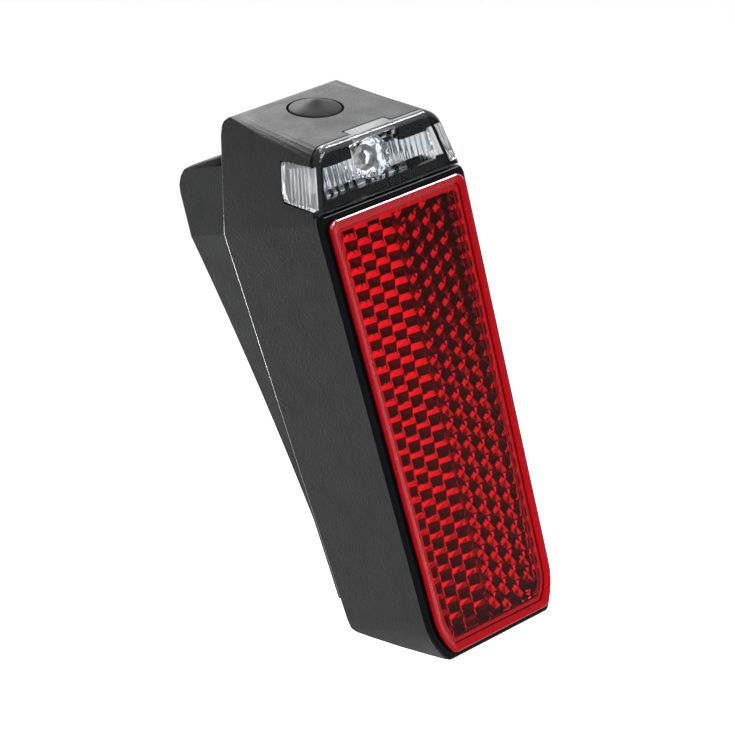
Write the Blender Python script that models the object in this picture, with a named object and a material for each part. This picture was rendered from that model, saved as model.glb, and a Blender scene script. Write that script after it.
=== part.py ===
"""Battery rear light for a bicycle mudguard, with a prismatic red reflector.

Units are metres, +Z is up, and the reflector faces -Y. Everything is drawn from the
bottom front edge of the case. The root empty then moves it so that the world origin is
the point half way between the two mounting screws, on the mudguard.
"""
import math

import bmesh
import bpy
from mathutils import Matrix, Vector

MM = 0.001

# Fits
GAP = 0.3 * MM
WALL = 1.6 * MM
OVERSHOOT = 2.0 * MM
FAR = 60.0 * MM
NEAR = 0.01 * MM
MERGE = 0.001 * MM

# Cells and their tray, which the case is built round
BACKING_FRONT = 3.4 * MM
BACKING_THICKNESS = 1.0 * MM
CELL_DIAMETER = 10.5 * MM
CELL_LENGTH = 44.5 * MM
CELL_NUB_RADIUS = 1.9 * MM
CELL_NUB = 1.0 * MM
CELL_CRIMP = 0.6 * MM
CELL_SPACING = CELL_DIAMETER + 0.8 * MM
TRAY_FLOOR = 17.0 * MM
TRAY_WALL = 1.2 * MM
TRAY_SADDLE = 8.5 * MM
CONTACT_SHEET = 0.4 * MM
CONTACT_WIDTH = 8.0 * MM
CONTACT_TAIL_WIDTH = 3.0 * MM
SPRING_HEIGHT = 2.7 * MM
SPRING_WIRE = 0.7 * MM
SPRING_BASE_RADIUS = 3.5 * MM
SPRING_TIP_RADIUS = 2.0 * MM
SPRING_TURNS = 2.3
CELL_FRONT = BACKING_FRONT + BACKING_THICKNESS + GAP + TRAY_WALL + GAP
CELL_Y = CELL_FRONT + CELL_DIAMETER / 2
LOW_PLATE = TRAY_FLOOR + TRAY_WALL + GAP
LOW_SEAT = LOW_PLATE + CONTACT_SHEET + GAP
HIGH_PLATE = LOW_SEAT + SPRING_HEIGHT + GAP + CELL_LENGTH + GAP
TRAY_TOP = HIGH_PLATE + CONTACT_SHEET + GAP + TRAY_WALL
TRAY_HALF = CELL_SPACING / 2 + CELL_DIAMETER / 2 + GAP + TRAY_WALL
LAMP_ROOM = 9.5 * MM
SIDE_ROOM = 5.1 * MM
BACK_ROOM = 8.3 * MM

# Case, seen from the front
FOLD_WIDTH = 2 * (TRAY_HALF + SIDE_ROOM)
FOLD_HEIGHT = TRAY_TOP + LAMP_ROOM
BOTTOM_WIDTH = FOLD_WIDTH - 4.3 * MM
TOP_FRONT_WIDTH = FOLD_WIDTH - 5.8 * MM
TOP_FRONT_HEIGHT = FOLD_HEIGHT + 12.1 * MM
CHIN_WIDTH = FOLD_WIDTH - 10.0 * MM
CHIN_HEIGHT = 4.3 * MM
CHIN_RADIUS = 13.0 * MM
CHIN_CORNER_RADIUS = 1.2 * MM
TOP_EDGE_SETBACK = 2.8 * MM

# Case, seen from the side
TOP_SLOPE = math.radians(19.1)
CHIN_SLOPE = math.radians(16.0)
CASE_DEPTH_FOLD = CELL_FRONT + CELL_DIAMETER + BACK_ROOM
CASE_DEPTH_BOTTOM = CASE_DEPTH_FOLD - 4.5 * MM
CASE_DEPTH_TOP = CASE_DEPTH_FOLD - 1.1 * MM
HEEL_RADIUS = 2.4 * MM
BACK_TOP_RADIUS = 3.0 * MM

# Front frame and reflector
FRAME_FLANGE = 0.6 * MM
FRAME_PLUG_DEPTH = 2.4 * MM
FRAME_PLUG_WALL = 0.9 * MM
FRAME_TOP = FOLD_HEIGHT + 1.4 * MM
FRAME_WINDOW_SILL = 3.4 * MM
FRAME_EDGE_RADIUS = 0.5 * MM
FRAME_CORNER = 1.0 * MM
REFLECTOR_PROUD = 1.0 * MM
REFLECTOR_SIDE_RIM = 1.3 * MM
REFLECTOR_BOTTOM_RIM = 1.15 * MM
REFLECTOR_TOP = FRAME_TOP - 1.1 * MM
REFLECTOR_CORNER = 1.6 * MM
REFLECTOR_EDGE = 0.35 * MM
REFLECTOR_PLATE = 1.2 * MM
PRISM_ROW = 2.8 * MM
PRISM_COLUMN = 3.0 * MM
PRISM_DEPTH = 1.7 * MM
PRISM_FOOT = 0.1 * MM
PRISM_BORDER = 0.5 * MM

# Clear window and lamp chamber
LENS_WALL = 1.4 * MM
LENS_EDGE_RADIUS = 0.8 * MM
LENS_WING_DEPTH = 9.1 * MM
LENS_WING_FRONT_DROP = 2.6 * MM
LENS_WING_BACK_DROP = 4.1 * MM
LENS_TAB_WIDTH = 9.4 * MM
LENS_TAB_DEPTH = 3.1 * MM
SHIELD_WALL = 1.0 * MM
WINDOW_SILL = FRAME_TOP + 2.2 * MM
WINDOW_HEAD = TOP_FRONT_HEIGHT - 3.3 * MM
WINDOW_WIDTH = TOP_FRONT_WIDTH - 3.0 * MM
WINDOW_LEAN = 0.5 * MM
NOTCH_WIDTH = WINDOW_WIDTH * 0.46
BUTTON_PLACE = CASE_DEPTH_TOP - 9.9 * MM
CHAMBER_DEPTH = BUTTON_PLACE - 6.0 * MM
LAMP_HEIGHT = (WINDOW_SILL + TOP_FRONT_HEIGHT) / 2 - 0.25 * MM
OPTIC_RADIUS = 3.7 * MM
OPTIC_FRONT = 3.1 * MM
OPTIC_BACK = CHAMBER_DEPTH - 1.3 * MM
OPTIC_THROAT = 2.0 * MM
WING_HEIGHT = 4.0 * MM
WING_THICKNESS = 1.3 * MM
WING_REACH = 0.7 * MM
WING_DROP = 0.6 * MM
FLUTE_PITCH = 1.25 * MM
FLUTE_DEPTH = 0.35 * MM
LED_SIZE = 3.0 * MM
LED_THICKNESS = 0.7 * MM
LED_DOME = 1.1 * MM
SENSOR_SIZE = 2.8 * MM
LAMP_BOARD_WIDTH = WINDOW_WIDTH - 4.2 * MM
SENSOR_OFFSET = LAMP_BOARD_WIDTH / 2 - SENSOR_SIZE
LAMP_BOARD_HEIGHT = 6.6 * MM
LAMP_BOARD_THICKNESS = 1.0 * MM

# Push button and switch, measured down from the sloping top face
BUTTON_RADIUS = 4.7 * MM
BUTTON_RISE = 1.6 * MM
BUTTON_TRAVEL = 0.5 * MM
BUTTON_EDGE = 0.15 * MM
BUTTON_FLANGE = 0.7 * MM
BUTTON_FLANGE_RADIUS = 5.7 * MM
BUTTON_STEM_RADIUS = 1.5 * MM
BUTTON_STEM = 1.5 * MM
BUTTON_SEAL = 0.6 * MM
SWITCH_SIZE = 6.0 * MM
SWITCH_HEIGHT = 3.4 * MM
PLUNGER_RADIUS = 1.7 * MM
PLUNGER_REACH = 0.9 * MM
PLUNGER_LENGTH = 1.6 * MM

# Driver board
BOARD_WIDTH = SWITCH_SIZE + 15.0 * MM
BOARD_FRONT = BUTTON_PLACE - CHAMBER_DEPTH + 0.8 * MM
BOARD_BACK = 6.0 * MM
BOARD_THICKNESS = 1.6 * MM
CHIP_WIDTH = 4.0 * MM
CHIP_LENGTH = 5.0 * MM
CHIP_HEIGHT = 1.2 * MM
CHIP_MARGIN = 2.0 * MM
COIL_RADIUS = 2.2 * MM
COIL_HEIGHT = 2.6 * MM
RAIL_SPREAD = BOARD_WIDTH / 2 - 0.7 * MM
RAIL_LENGTH = 5.0 * MM
RAIL_HEIGHT = 1.5 * MM

# Rear base
BASE_STEP = 0.8 * MM
BASE_WALL = 1.6 * MM
BASE_BACK_WALL = 2.0 * MM
BASE_FLANGE = 0.9 * MM
BASE_OVERLAP = 1.5 * MM
BASE_TOP_FRONT = TOP_FRONT_HEIGHT + 1.1 * MM
BASE_TOP_FALL = math.radians(7.9)
BASE_TOP_RADIUS = 3.4 * MM
PLUG_LENGTH = 6.0 * MM
PLUG_TOP_LENGTH = 3.2 * MM
PLUG_WALL = 1.8 * MM
OPENING_SILL = 13.0 * MM
SEAL_DEPTH = 0.6 * MM
SEAL_WIDTH = 1.3 * MM
SEAL_SETBACK = 0.9 * MM
SWEEP_RADIUS = 500.0 * MM
SWEEP_HEIGHT = FOLD_HEIGHT - 23.4 * MM
SWEEP_DEPTH = CASE_DEPTH_FOLD + 3.65 * MM
SWEEP_TILT = math.radians(12.84)

# Mounting screws
SCREW_SPACING = 40.0 * MM
SEAT_RADIUS = 7.0 * MM
SEAT_STAND = 1.0 * MM
BOSS_RADIUS = 5.6 * MM
BOSS_DEPTH = 7.2 * MM
INSERT_RADIUS = 3.5 * MM
INSERT_LENGTH = 6.0 * MM
INSERT_BORE_RADIUS = 2.1 * MM
INSERT_GROOVE = 0.4 * MM
PAD_WIDTH = 22.0 * MM
PAD_RECESS = 0.6 * MM
PAD_STAND = 0.8 * MM
PAD_MARGIN = 8.0 * MM

# Closing screw, square to the chin
CLOSING_PLACE = 13.4 * MM
CLOSING_HEAD_RADIUS = 2.5 * MM
CLOSING_HEAD = 1.4 * MM
CLOSING_SUNK = 0.1 * MM
CLOSING_SLOT = 0.9 * MM
CLOSING_SHANK_RADIUS = 1.45 * MM
CLOSING_LENGTH = 9.0 * MM
CLOSING_POST_RADIUS = 2.9 * MM
CLOSING_POST_LENGTH = 10.5 * MM
CLOSING_WEB_HEIGHT = 2.5 * MM

ROUND_STEPS = 32
CORNER_STEPS = 4

COLOURS = {
    "case_plastic": ((0.045, 0.046, 0.049), 0.55, 0.0),
    "base_plastic": ((0.075, 0.078, 0.083), 0.6, 0.0),
    "gloss_black": ((0.006, 0.008, 0.009), 0.12, 0.0),
    "red_prism": ((0.7, 0.01, 0.015), 0.08, 0.0),
    "clear_plastic": ((0.9, 0.93, 0.95), 0.05, 0.0),
    "white_plastic": ((0.85, 0.85, 0.84), 0.4, 0.0),
    "rubber": ((0.02, 0.02, 0.021), 0.8, 0.0),
    "board_green": ((0.03, 0.17, 0.08), 0.45, 0.0),
    "chip_black": ((0.015, 0.015, 0.016), 0.45, 0.0),
    "led_yellow": ((0.9, 0.75, 0.2), 0.3, 0.0),
    "steel": ((0.62, 0.62, 0.63), 0.3, 1.0),
    "brass": ((0.78, 0.6, 0.28), 0.3, 1.0),
    "cell_sleeve": ((0.16, 0.2, 0.27), 0.35, 0.2),
}


def clear_scene():
    for thing in list(bpy.data.objects):
        bpy.data.objects.remove(thing, do_unlink=True)


def finish_material(name):
    material = bpy.data.materials.get(name)
    if material is None:
        material = bpy.data.materials.new(name)
        material.use_nodes = True
        shader = material.node_tree.nodes["Principled BSDF"]
        colour, roughness, metallic = COLOURS[name]
        shader.inputs["Base Color"].default_value = (*colour, 1.0)
        shader.inputs["Roughness"].default_value = roughness
        shader.inputs["Metallic"].default_value = metallic
        material.diffuse_color = (*colour, 1.0)
    return material


def make_empty(name, location, tilt=0.0, parent=None):
    empty = bpy.data.objects.new(name, None)
    empty.location = location
    empty.rotation_euler = (tilt, 0.0, 0.0)
    empty.parent = parent
    bpy.context.collection.objects.link(empty)
    return empty


def solid_from(bm, name="shape"):
    """Turn a closed bmesh into an object with its faces pointing out."""
    bmesh.ops.recalc_face_normals(bm, faces=bm.faces)
    mesh = bpy.data.meshes.new(name)
    bm.to_mesh(mesh)
    bm.free()
    thing = bpy.data.objects.new(name, mesh)
    bpy.context.collection.objects.link(thing)
    return thing


def combine(target, tool, operation):
    """Apply one Boolean to target and remove the tool."""
    tool.hide_render = True
    tool.display_type = "WIRE"
    modifier = target.modifiers.new("combine", "BOOLEAN")
    modifier.operation = operation
    modifier.solver = "EXACT"
    modifier.object = tool
    graph = bpy.context.evaluated_depsgraph_get()
    mesh = bpy.data.meshes.new_from_object(target.evaluated_get(graph))
    target.modifiers.clear()
    target.data = mesh
    bpy.data.objects.remove(tool, do_unlink=True)
    return target


def cut(target, tool):
    return combine(target, tool, "DIFFERENCE")


def join(target, tool):
    return combine(target, tool, "UNION")


def keep_inside(target, tool):
    return combine(target, tool, "INTERSECT")


def name_part(thing, name, finish, parent, smooth=False):
    """Give a finished solid its node name, its material and its parent."""
    thing.name = name
    thing.data.name = name
    thing.data.materials.clear()
    thing.data.materials.append(finish_material(finish))
    thing.parent = parent
    if smooth:
        thing.data.shade_smooth()
        thing.data.set_sharp_from_angle(angle=math.radians(30.0))
    return thing


def prism(points, axis, start, end):
    """Extrude a closed outline: (x, z) along Y, (y, z) along X or (x, y) along Z."""
    place = {
        "X": lambda a, b: (start, a, b),
        "Y": lambda a, b: (a, start, b),
        "Z": lambda a, b: (a, b, start),
    }[axis]
    way = {"X": (1, 0, 0), "Y": (0, 1, 0), "Z": (0, 0, 1)}[axis]
    bm = bmesh.new()
    face = bm.faces.new([bm.verts.new(place(a, b)) for a, b in points])
    swept = bmesh.ops.extrude_face_region(bm, geom=[face])
    moved = [item for item in swept["geom"] if isinstance(item, bmesh.types.BMVert)]
    bmesh.ops.translate(bm, verts=moved, vec=Vector(way) * (end - start))
    return solid_from(bm)


def lofted(sections):
    """Join outlines of equal length, each (depth, points), into one solid along Y."""
    bm = bmesh.new()
    rings = [[bm.verts.new((x, y, z)) for x, z in points] for y, points in sections]
    for ring, after in zip(rings, rings[1:]):
        for index in range(len(ring)):
            follow = (index + 1) % len(ring)
            bm.faces.new((ring[index], ring[follow], after[follow], after[index]))
    bm.faces.new(rings[0])
    bm.faces.new(rings[-1])
    return solid_from(bm)


def eased(outline_at, front, back, radius, steps=3):
    """Extrude an outline along Y with its front edge rounded; outline_at gives it by inset."""
    turns = [math.pi / 2 * (1 - step / steps) for step in range(steps + 1)]
    sections = [
        (front + radius * (1 - math.cos(math.pi / 2 - turn)), outline_at(radius * (1 - math.cos(turn))))
        for turn in turns
    ]
    return lofted(sections + [(back, outline_at(0.0))])


def box(low, high):
    bm = bmesh.new()
    bmesh.ops.create_cube(bm, size=1.0)
    size = [b - a for a, b in zip(low, high)]
    middle = [(a + b) / 2 for a, b in zip(low, high)]
    bmesh.ops.transform(
        bm, matrix=Matrix.Translation(middle) @ Matrix.Diagonal((*size, 1.0)), verts=bm.verts
    )
    return solid_from(bm)


def turned(profile, steps=ROUND_STEPS):
    """Revolve a profile of (radius, height) points about local Z."""
    bm = bmesh.new()
    verts = [bm.verts.new((r, 0.0, z)) for r, z in profile]
    edges = [bm.edges.new(pair) for pair in zip(verts, verts[1:])]
    bmesh.ops.spin(
        bm,
        geom=verts + edges,
        cent=(0, 0, 0),
        axis=(0, 0, 1),
        angle=math.tau,
        steps=steps,
        use_duplicate=False,
    )
    bmesh.ops.remove_doubles(bm, verts=bm.verts, dist=MERGE)
    return solid_from(bm)


def peg(radius, low, high, steps=ROUND_STEPS):
    """A round bar along local Z."""
    return turned([(0.0, low), (radius, low), (radius, high), (0.0, high)], steps)


def placed(thing, matrix):
    """Move the mesh itself, so that it can be combined with others."""
    thing.data.transform(matrix)
    return thing


def meet(p, u, q, v):
    """Where the line through p along u meets the line through q along v."""
    cross = u[0] * v[1] - u[1] * v[0]
    along = ((q[0] - p[0]) * v[1] - (q[1] - p[1]) * v[0]) / cross
    return (p[0] + u[0] * along, p[1] + u[1] * along)


def inset_polygon(points, insets):
    """Move each edge of an anticlockwise outline inwards by its own amount."""
    count = len(points)
    lines = []
    for index in range(count):
        a = Vector(points[index])
        b = Vector(points[(index + 1) % count])
        along = (b - a).normalized()
        inward = Vector((-along.y, along.x))
        lines.append((a + inward * insets[index], along))
    return [meet(*lines[index - 1], *lines[index]) for index in range(count)]


def rounded(points, radii, steps=CORNER_STEPS):
    """Replace corners of an outline by arcs that touch both edges and fit on them."""
    corners = [Vector(point) for point in points]
    count = len(corners)
    sides = [corners[(index + 1) % count] - corners[index] for index in range(count)]
    halves = [(-sides[index - 1]).angle(sides[index]) / 2 for index in range(count)]
    reaches = [radius / math.tan(half) for radius, half in zip(radii, halves)]
    for index in range(count):
        after = (index + 1) % count
        wanted = reaches[index] + reaches[after]
        room = sides[index].length * 0.96
        if wanted > room:
            reaches[index] *= room / wanted
            reaches[after] *= room / wanted
    out = []
    for index, reach in enumerate(reaches):
        corner = corners[index]
        before = -sides[index - 1].normalized()
        after = sides[index].normalized()
        half = halves[index]
        radius = reach * math.tan(half)
        if reach <= 0.0:
            out.append(tuple(corner))
            continue
        start = corner + before * reach
        end = corner + after * reach
        centre = corner + (before + after).normalized() * (radius / math.sin(half))
        sweep = (start - centre).angle_signed(end - centre)
        for step in range(steps + 1):
            turn = Matrix.Rotation(-sweep * step / steps, 2)
            out.append(tuple(centre + turn @ (start - centre)))
    return out


def case_half_width(z, folded=True):
    """Half the case's width at a height; unfolded, its lower sides run on upwards."""
    lower = (BOTTOM_WIDTH + (FOLD_WIDTH - BOTTOM_WIDTH) * z / FOLD_HEIGHT) / 2
    lean = (FOLD_WIDTH - TOP_FRONT_WIDTH) / (TOP_FRONT_HEIGHT - FOLD_HEIGHT)
    upper = (FOLD_WIDTH - lean * (z - FOLD_HEIGHT)) / 2
    return min(lower, upper) if folded else lower


def front_outline(inset, top, bottom=0.0, bottom_inset=None, corner=0.0):
    """The case's outline from the front, between two heights, moved inwards by inset."""
    low_inset = inset if bottom_inset is None else bottom_inset
    raised = top + inset
    right = []
    radii = []
    if bottom < CHIN_HEIGHT:
        right += [(CHIN_WIDTH / 2, bottom), (case_half_width(CHIN_HEIGHT), CHIN_HEIGHT)]
        chin_corner = max(CHIN_CORNER_RADIUS - inset, corner, GAP)
        radii += [chin_corner, CHIN_RADIUS - inset]
    else:
        right += [(case_half_width(bottom), bottom)]
        radii += [corner]
    folded = top > FOLD_HEIGHT + GAP + corner / 2
    if folded:
        right += [(FOLD_WIDTH / 2, FOLD_HEIGHT)]
        radii += [0.0]
    right += [(case_half_width(raised, folded), raised)]
    radii += [corner]
    points = right + [(-x, z) for x, z in reversed(right)]
    insets = [inset] * len(points)
    insets[-1] = low_inset
    return rounded(inset_polygon(points, insets), radii + radii[::-1])


def top_z(y, inset=0.0):
    return TOP_FRONT_HEIGHT + y * math.tan(TOP_SLOPE) - inset / math.cos(TOP_SLOPE)


def chin_z(y, inset=0.0):
    return y * math.tan(CHIN_SLOPE) + inset / math.cos(CHIN_SLOPE)


CASE_BACK_BOTTOM = (CASE_DEPTH_BOTTOM, CASE_DEPTH_BOTTOM * math.tan(CHIN_SLOPE))
CASE_BACK_FOLD = (CASE_DEPTH_FOLD, FOLD_HEIGHT)
CASE_BACK_TOP = (CASE_DEPTH_TOP, TOP_FRONT_HEIGHT + CASE_DEPTH_TOP * math.tan(TOP_SLOPE))


def back_y(z, outset=0.0):
    """The case's back edge at a height."""
    a, b = CASE_BACK_BOTTOM, CASE_BACK_FOLD
    if z > FOLD_HEIGHT:
        a, b = CASE_BACK_FOLD, CASE_BACK_TOP
    return a[0] + (b[0] - a[0]) * (z - a[1]) / (b[1] - a[1]) + outset


def case_profile(front, inset, back_inset, heel=0.0, brow=0.0):
    """The case from the side: chin, heel, back edge, fold, top corner and top face."""
    points = [(0.0, 0.0), CASE_BACK_BOTTOM, CASE_BACK_FOLD, CASE_BACK_TOP, (0.0, TOP_FRONT_HEIGHT)]
    moved = inset_polygon(points, [inset, back_inset, back_inset, inset, -front])
    moved[0] = (front, chin_z(front, inset))
    moved[4] = (front, top_z(front, inset))
    return rounded(moved, [0.0, heel, 0.0, BACK_TOP_RADIUS if heel else 0.0, brow])


def round_top_edges(thing, inset, setback):
    """Round the two long edges where the sides meet the top face."""
    bm = bmesh.new()
    bm.from_mesh(thing.data)
    normal = Vector((0.0, -math.sin(TOP_SLOPE), math.cos(TOP_SLOPE)))
    level = normal.dot(Vector((0.0, 0.0, TOP_FRONT_HEIGHT))) - inset
    chosen = []
    for edge in bm.edges:
        on_top = all(abs(v.co.dot(normal) - level) < NEAR for v in edge.verts)
        along = (edge.verts[1].co - edge.verts[0].co).normalized()
        if on_top and abs(along.x) < 0.5:
            chosen.append(edge)
    bmesh.ops.bevel(bm, geom=chosen, offset=setback, segments=5, profile=0.5, affect="EDGES")
    bm.to_mesh(thing.data)
    bm.free()
    return thing


def case_block(inset, profile, front_radius=None):
    """A solid with the case's front outline and the given side outline."""
    high = TOP_FRONT_HEIGHT + FAR / 4
    if front_radius is None:
        thing = prism(front_outline(inset, high), "Y", -FAR, FAR)
    else:
        thing = eased(lambda extra: front_outline(inset + extra, high), 0.0, FAR, front_radius)
    keep_inside(thing, prism(profile, "X", -FAR, FAR))
    return round_top_edges(thing, inset, edge_setback(inset))


def edge_setback(inset):
    """How far a rounded top edge starts from its corner, on a wall inside the case."""
    turn = math.atan2(TOP_FRONT_HEIGHT - FOLD_HEIGHT, (FOLD_WIDTH - TOP_FRONT_WIDTH) / 2)
    return max(TOP_EDGE_SETBACK - inset * math.tan(turn / 2), GAP)


def wing_outline(growth=0.0):
    """The clear window's wing on the side of the case, as (y, z)."""
    points = [
        (-OVERSHOOT, FRAME_TOP + GAP),
        (0.0, FRAME_TOP + 2 * GAP),
        (LENS_WING_DEPTH - 2 * GAP, WINDOW_SILL + 3 * GAP),
        (LENS_WING_DEPTH, WINDOW_SILL + 8 * GAP),
        (LENS_WING_DEPTH - GAP, top_z(LENS_WING_DEPTH, LENS_WING_BACK_DROP)),
        (-OVERSHOOT, top_z(-OVERSHOOT, LENS_WING_FRONT_DROP)),
    ]
    return inset_polygon(points, [-growth] * 5 + [0.0])


def window_space(growth=0.0):
    """The part of the case's skin that is clear: front strip, two wings and a top tab."""
    high = TOP_FRONT_HEIGHT + FAR / 4
    low = FRAME_TOP + GAP - growth
    space = box((-FAR, -OVERSHOOT, low), (FAR, LENS_WALL + growth, high))
    join(space, prism(wing_outline(growth), "X", -FAR / 2, FAR / 2))
    half_tab = LENS_TAB_WIDTH / 2 + growth
    tab = box((-half_tab, -OVERSHOOT / 2, WINDOW_HEAD), (half_tab, LENS_TAB_DEPTH + growth, high - GAP))
    return join(space, tab)


def top_frame_matrix():
    """Local Z is square to the top face and the origin is under the button's middle."""
    place = Matrix.Translation((0.0, BUTTON_PLACE, top_z(BUTTON_PLACE)))
    return place @ Matrix.Rotation(TOP_SLOPE, 4, "X")


def chin_frame_matrix():
    """Local Z points into the case, square to the chin, at the closing screw."""
    place = Matrix.Translation((0.0, CLOSING_PLACE, chin_z(CLOSING_PLACE)))
    return place @ Matrix.Rotation(CHIN_SLOPE, 4, "X")


BUTTON_NECK = WALL + GAP + BUTTON_SEAL + GAP
STEM_END = BUTTON_NECK + BUTTON_FLANGE + BUTTON_STEM
PLUNGER_TOP = STEM_END + GAP
SWITCH_TOP = PLUNGER_TOP + PLUNGER_REACH
BOARD_TOP = SWITCH_TOP + SWITCH_HEIGHT + GAP
BOARD_BOTTOM = BOARD_TOP + BOARD_THICKNESS


def make_housing(parent):
    """Moulded case: one wall all round, open at the front and at the back."""
    shell = case_block(0.0, case_profile(FRAME_FLANGE + GAP, 0.0, 0.0, HEEL_RADIUS))
    cut(shell, case_block(WALL, hollow_profile()))
    cut(shell, window_space(GAP))
    cut(shell, placed(peg(BUTTON_RADIUS + GAP, -WALL * 2, WALL), top_frame_matrix()))
    cut(shell, closing_screw_solid(GAP))
    rails = None
    for side in (-1, 1):
        inner, outer = sorted((side * RAIL_SPREAD, side * FOLD_WIDTH / 2))
        rail = placed(
            box(
                (inner, GAP - BOARD_FRONT, -BOARD_BOTTOM - GAP - RAIL_HEIGHT),
                (outer, GAP - BOARD_FRONT + RAIL_LENGTH, -BOARD_BOTTOM - GAP),
            ),
            top_frame_matrix(),
        )
        rails = rail if rails is None else join(rails, rail)
    keep_inside(rails, case_block(WALL / 2, case_profile(0.0, WALL / 2, WALL / 2)))
    join(shell, rails)
    return name_part(shell, "housing", "case_plastic", parent, smooth=True)


def hollow_profile():
    """Side outline of the case's inside, which runs out through the back above a sill."""
    front = -OVERSHOOT
    corner = case_profile(front, WALL, WALL)[1]
    points = [
        (front, chin_z(front, WALL)),
        corner,
        (back_y(OPENING_SILL, -WALL), OPENING_SILL),
        (FAR, OPENING_SILL),
        (FAR, top_z(FAR, WALL)),
        (front, top_z(front, WALL)),
    ]
    return rounded(points, [0.0, HEEL_RADIUS - WALL, 0.0, 0.0, 0.0, 0.0])


def make_front_frame(parent):
    """Glossy frame: a thin flange over the case's front edge and a plug inside it."""
    frame = eased(
        lambda extra: front_outline(extra, FRAME_TOP - extra, corner=FRAME_CORNER),
        0.0,
        FRAME_FLANGE,
        FRAME_EDGE_RADIUS,
    )
    join(frame, inner_slice(FRAME_FLANGE / 2, FRAME_PLUG_DEPTH))
    cut(frame, prism(frame_window(), "Y", -OVERSHOOT, FRAME_PLUG_DEPTH + OVERSHOOT))
    return name_part(frame, "front_frame", "gloss_black", parent, smooth=True)


def inner_slice(front, back):
    """What fits inside the case, below the lamp, between two depths."""
    block = case_block(WALL + GAP, case_profile(front, WALL + GAP, 0.0))
    return keep_inside(block, box((-FAR, -FAR, -FAR), (FAR, back, FRAME_TOP - GAP)))


def frame_window(growth=0.0):
    """Outline of the hole in the frame, or with negative growth of what fits in it."""
    return front_outline(
        WALL + GAP + FRAME_PLUG_WALL - growth,
        REFLECTOR_TOP - 2 * GAP + growth,
        bottom_inset=FRAME_WINDOW_SILL - growth,
    )


def make_reflector(parent):
    """Red moulding: a cap over the frame, a body in its window and prisms behind."""

    def outline(extra):
        return front_outline(
            REFLECTOR_SIDE_RIM + extra,
            REFLECTOR_TOP - extra,
            bottom_inset=REFLECTOR_BOTTOM_RIM + extra,
            corner=REFLECTOR_CORNER,
        )

    cap = eased(outline, -REFLECTOR_PROUD, -GAP, REFLECTOR_EDGE)
    join(cap, prism(frame_window(-GAP), "Y", -REFLECTOR_PROUD / 2, REFLECTOR_PLATE))
    join(cap, prism_field())
    return name_part(cap, "reflector", "red_prism", parent)


def prism_field():
    """Two mirrored halves of cube-corner prisms that meet on the centre line."""
    half = cube_corners()
    keep_inside(half, prism(frame_window(-GAP - PRISM_BORDER), "Y", 0.0, FAR / 4))
    left = box((-FAR, -FAR, -FAR), (0.0, FAR, 2 * FAR))
    keep_inside(half, left)
    mirror = half.modifiers.new("other half", "MIRROR")
    mirror.use_axis = (True, False, False)
    mirror.merge_threshold = NEAR
    mirror.use_clip = True
    graph = bpy.context.evaluated_depsgraph_get()
    whole = bpy.data.meshes.new_from_object(half.evaluated_get(graph))
    half.modifiers.clear()
    half.data = whole
    bm = bmesh.new()
    bm.from_mesh(half.data)
    middle = [f for f in bm.faces if all(abs(v.co.x) < NEAR for v in f.verts)]
    bmesh.ops.delete(bm, geom=middle, context="FACES_ONLY")
    bmesh.ops.remove_doubles(bm, verts=bm.verts, dist=MERGE)
    bmesh.ops.recalc_face_normals(bm, faces=bm.faces)
    bm.to_mesh(half.data)
    bm.free()
    return half


def cube_corners():
    """A slab whose back is a net of cube corners: its points lie at three depths in turn."""
    across = PRISM_COLUMN * 2 / 3
    up = PRISM_ROW / 2
    columns = math.ceil(FOLD_WIDTH / 2 / across) + 3
    rows = math.ceil(FOLD_HEIGHT / up) + 3
    shallow = REFLECTOR_PLATE + PRISM_FOOT
    bm = bmesh.new()
    net = {}
    for row in range(rows):
        odd = row % 2
        for column in range(columns):
            level = (column + 2 * odd) % 3
            place = (
                across * (1 - column - odd / 2),
                shallow + PRISM_DEPTH * (1 - level / 2),
                up * (row - 1),
            )
            net[row, column] = bm.verts.new(place)
    for row in range(rows - 1):
        for column in range(columns - 1):
            a, b = net[row, column], net[row, column + 1]
            c, d = net[row + 1, column], net[row + 1, column + 1]
            halves = ((a, b, d), (a, d, c)) if row % 2 else ((a, b, c), (b, d, c))
            for half in halves:
                bm.faces.new(half)
    rim = bmesh.ops.extrude_face_region(bm, geom=list(bm.faces))
    for item in rim["geom"]:
        if isinstance(item, bmesh.types.BMVert):
            item.co.y = REFLECTOR_PLATE / 2
    return solid_from(bm)


def make_backing(parent):
    """Black dish that closes the prisms' air space; its rim meets the frame's plug."""
    dish = inner_slice(FRAME_PLUG_DEPTH + GAP, BACKING_FRONT + BACKING_THICKNESS)
    cut(dish, prism(frame_window(), "Y", 0.0, BACKING_FRONT))
    return name_part(dish, "reflector_backing", "gloss_black", parent)


def make_lens(parent):
    """Clear window that wraps the upper front, both sides and a tab of the top."""
    skin = case_block(0.0, case_profile(0.0, 0.0, 0.0, brow=LENS_EDGE_RADIUS), LENS_EDGE_RADIUS)
    cut(skin, case_block(LENS_WALL, case_profile(LENS_WALL, LENS_WALL, -OVERSHOOT)))
    keep_inside(skin, window_space())
    return name_part(skin, "clear_lens", "clear_plastic", parent, smooth=True)


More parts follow.
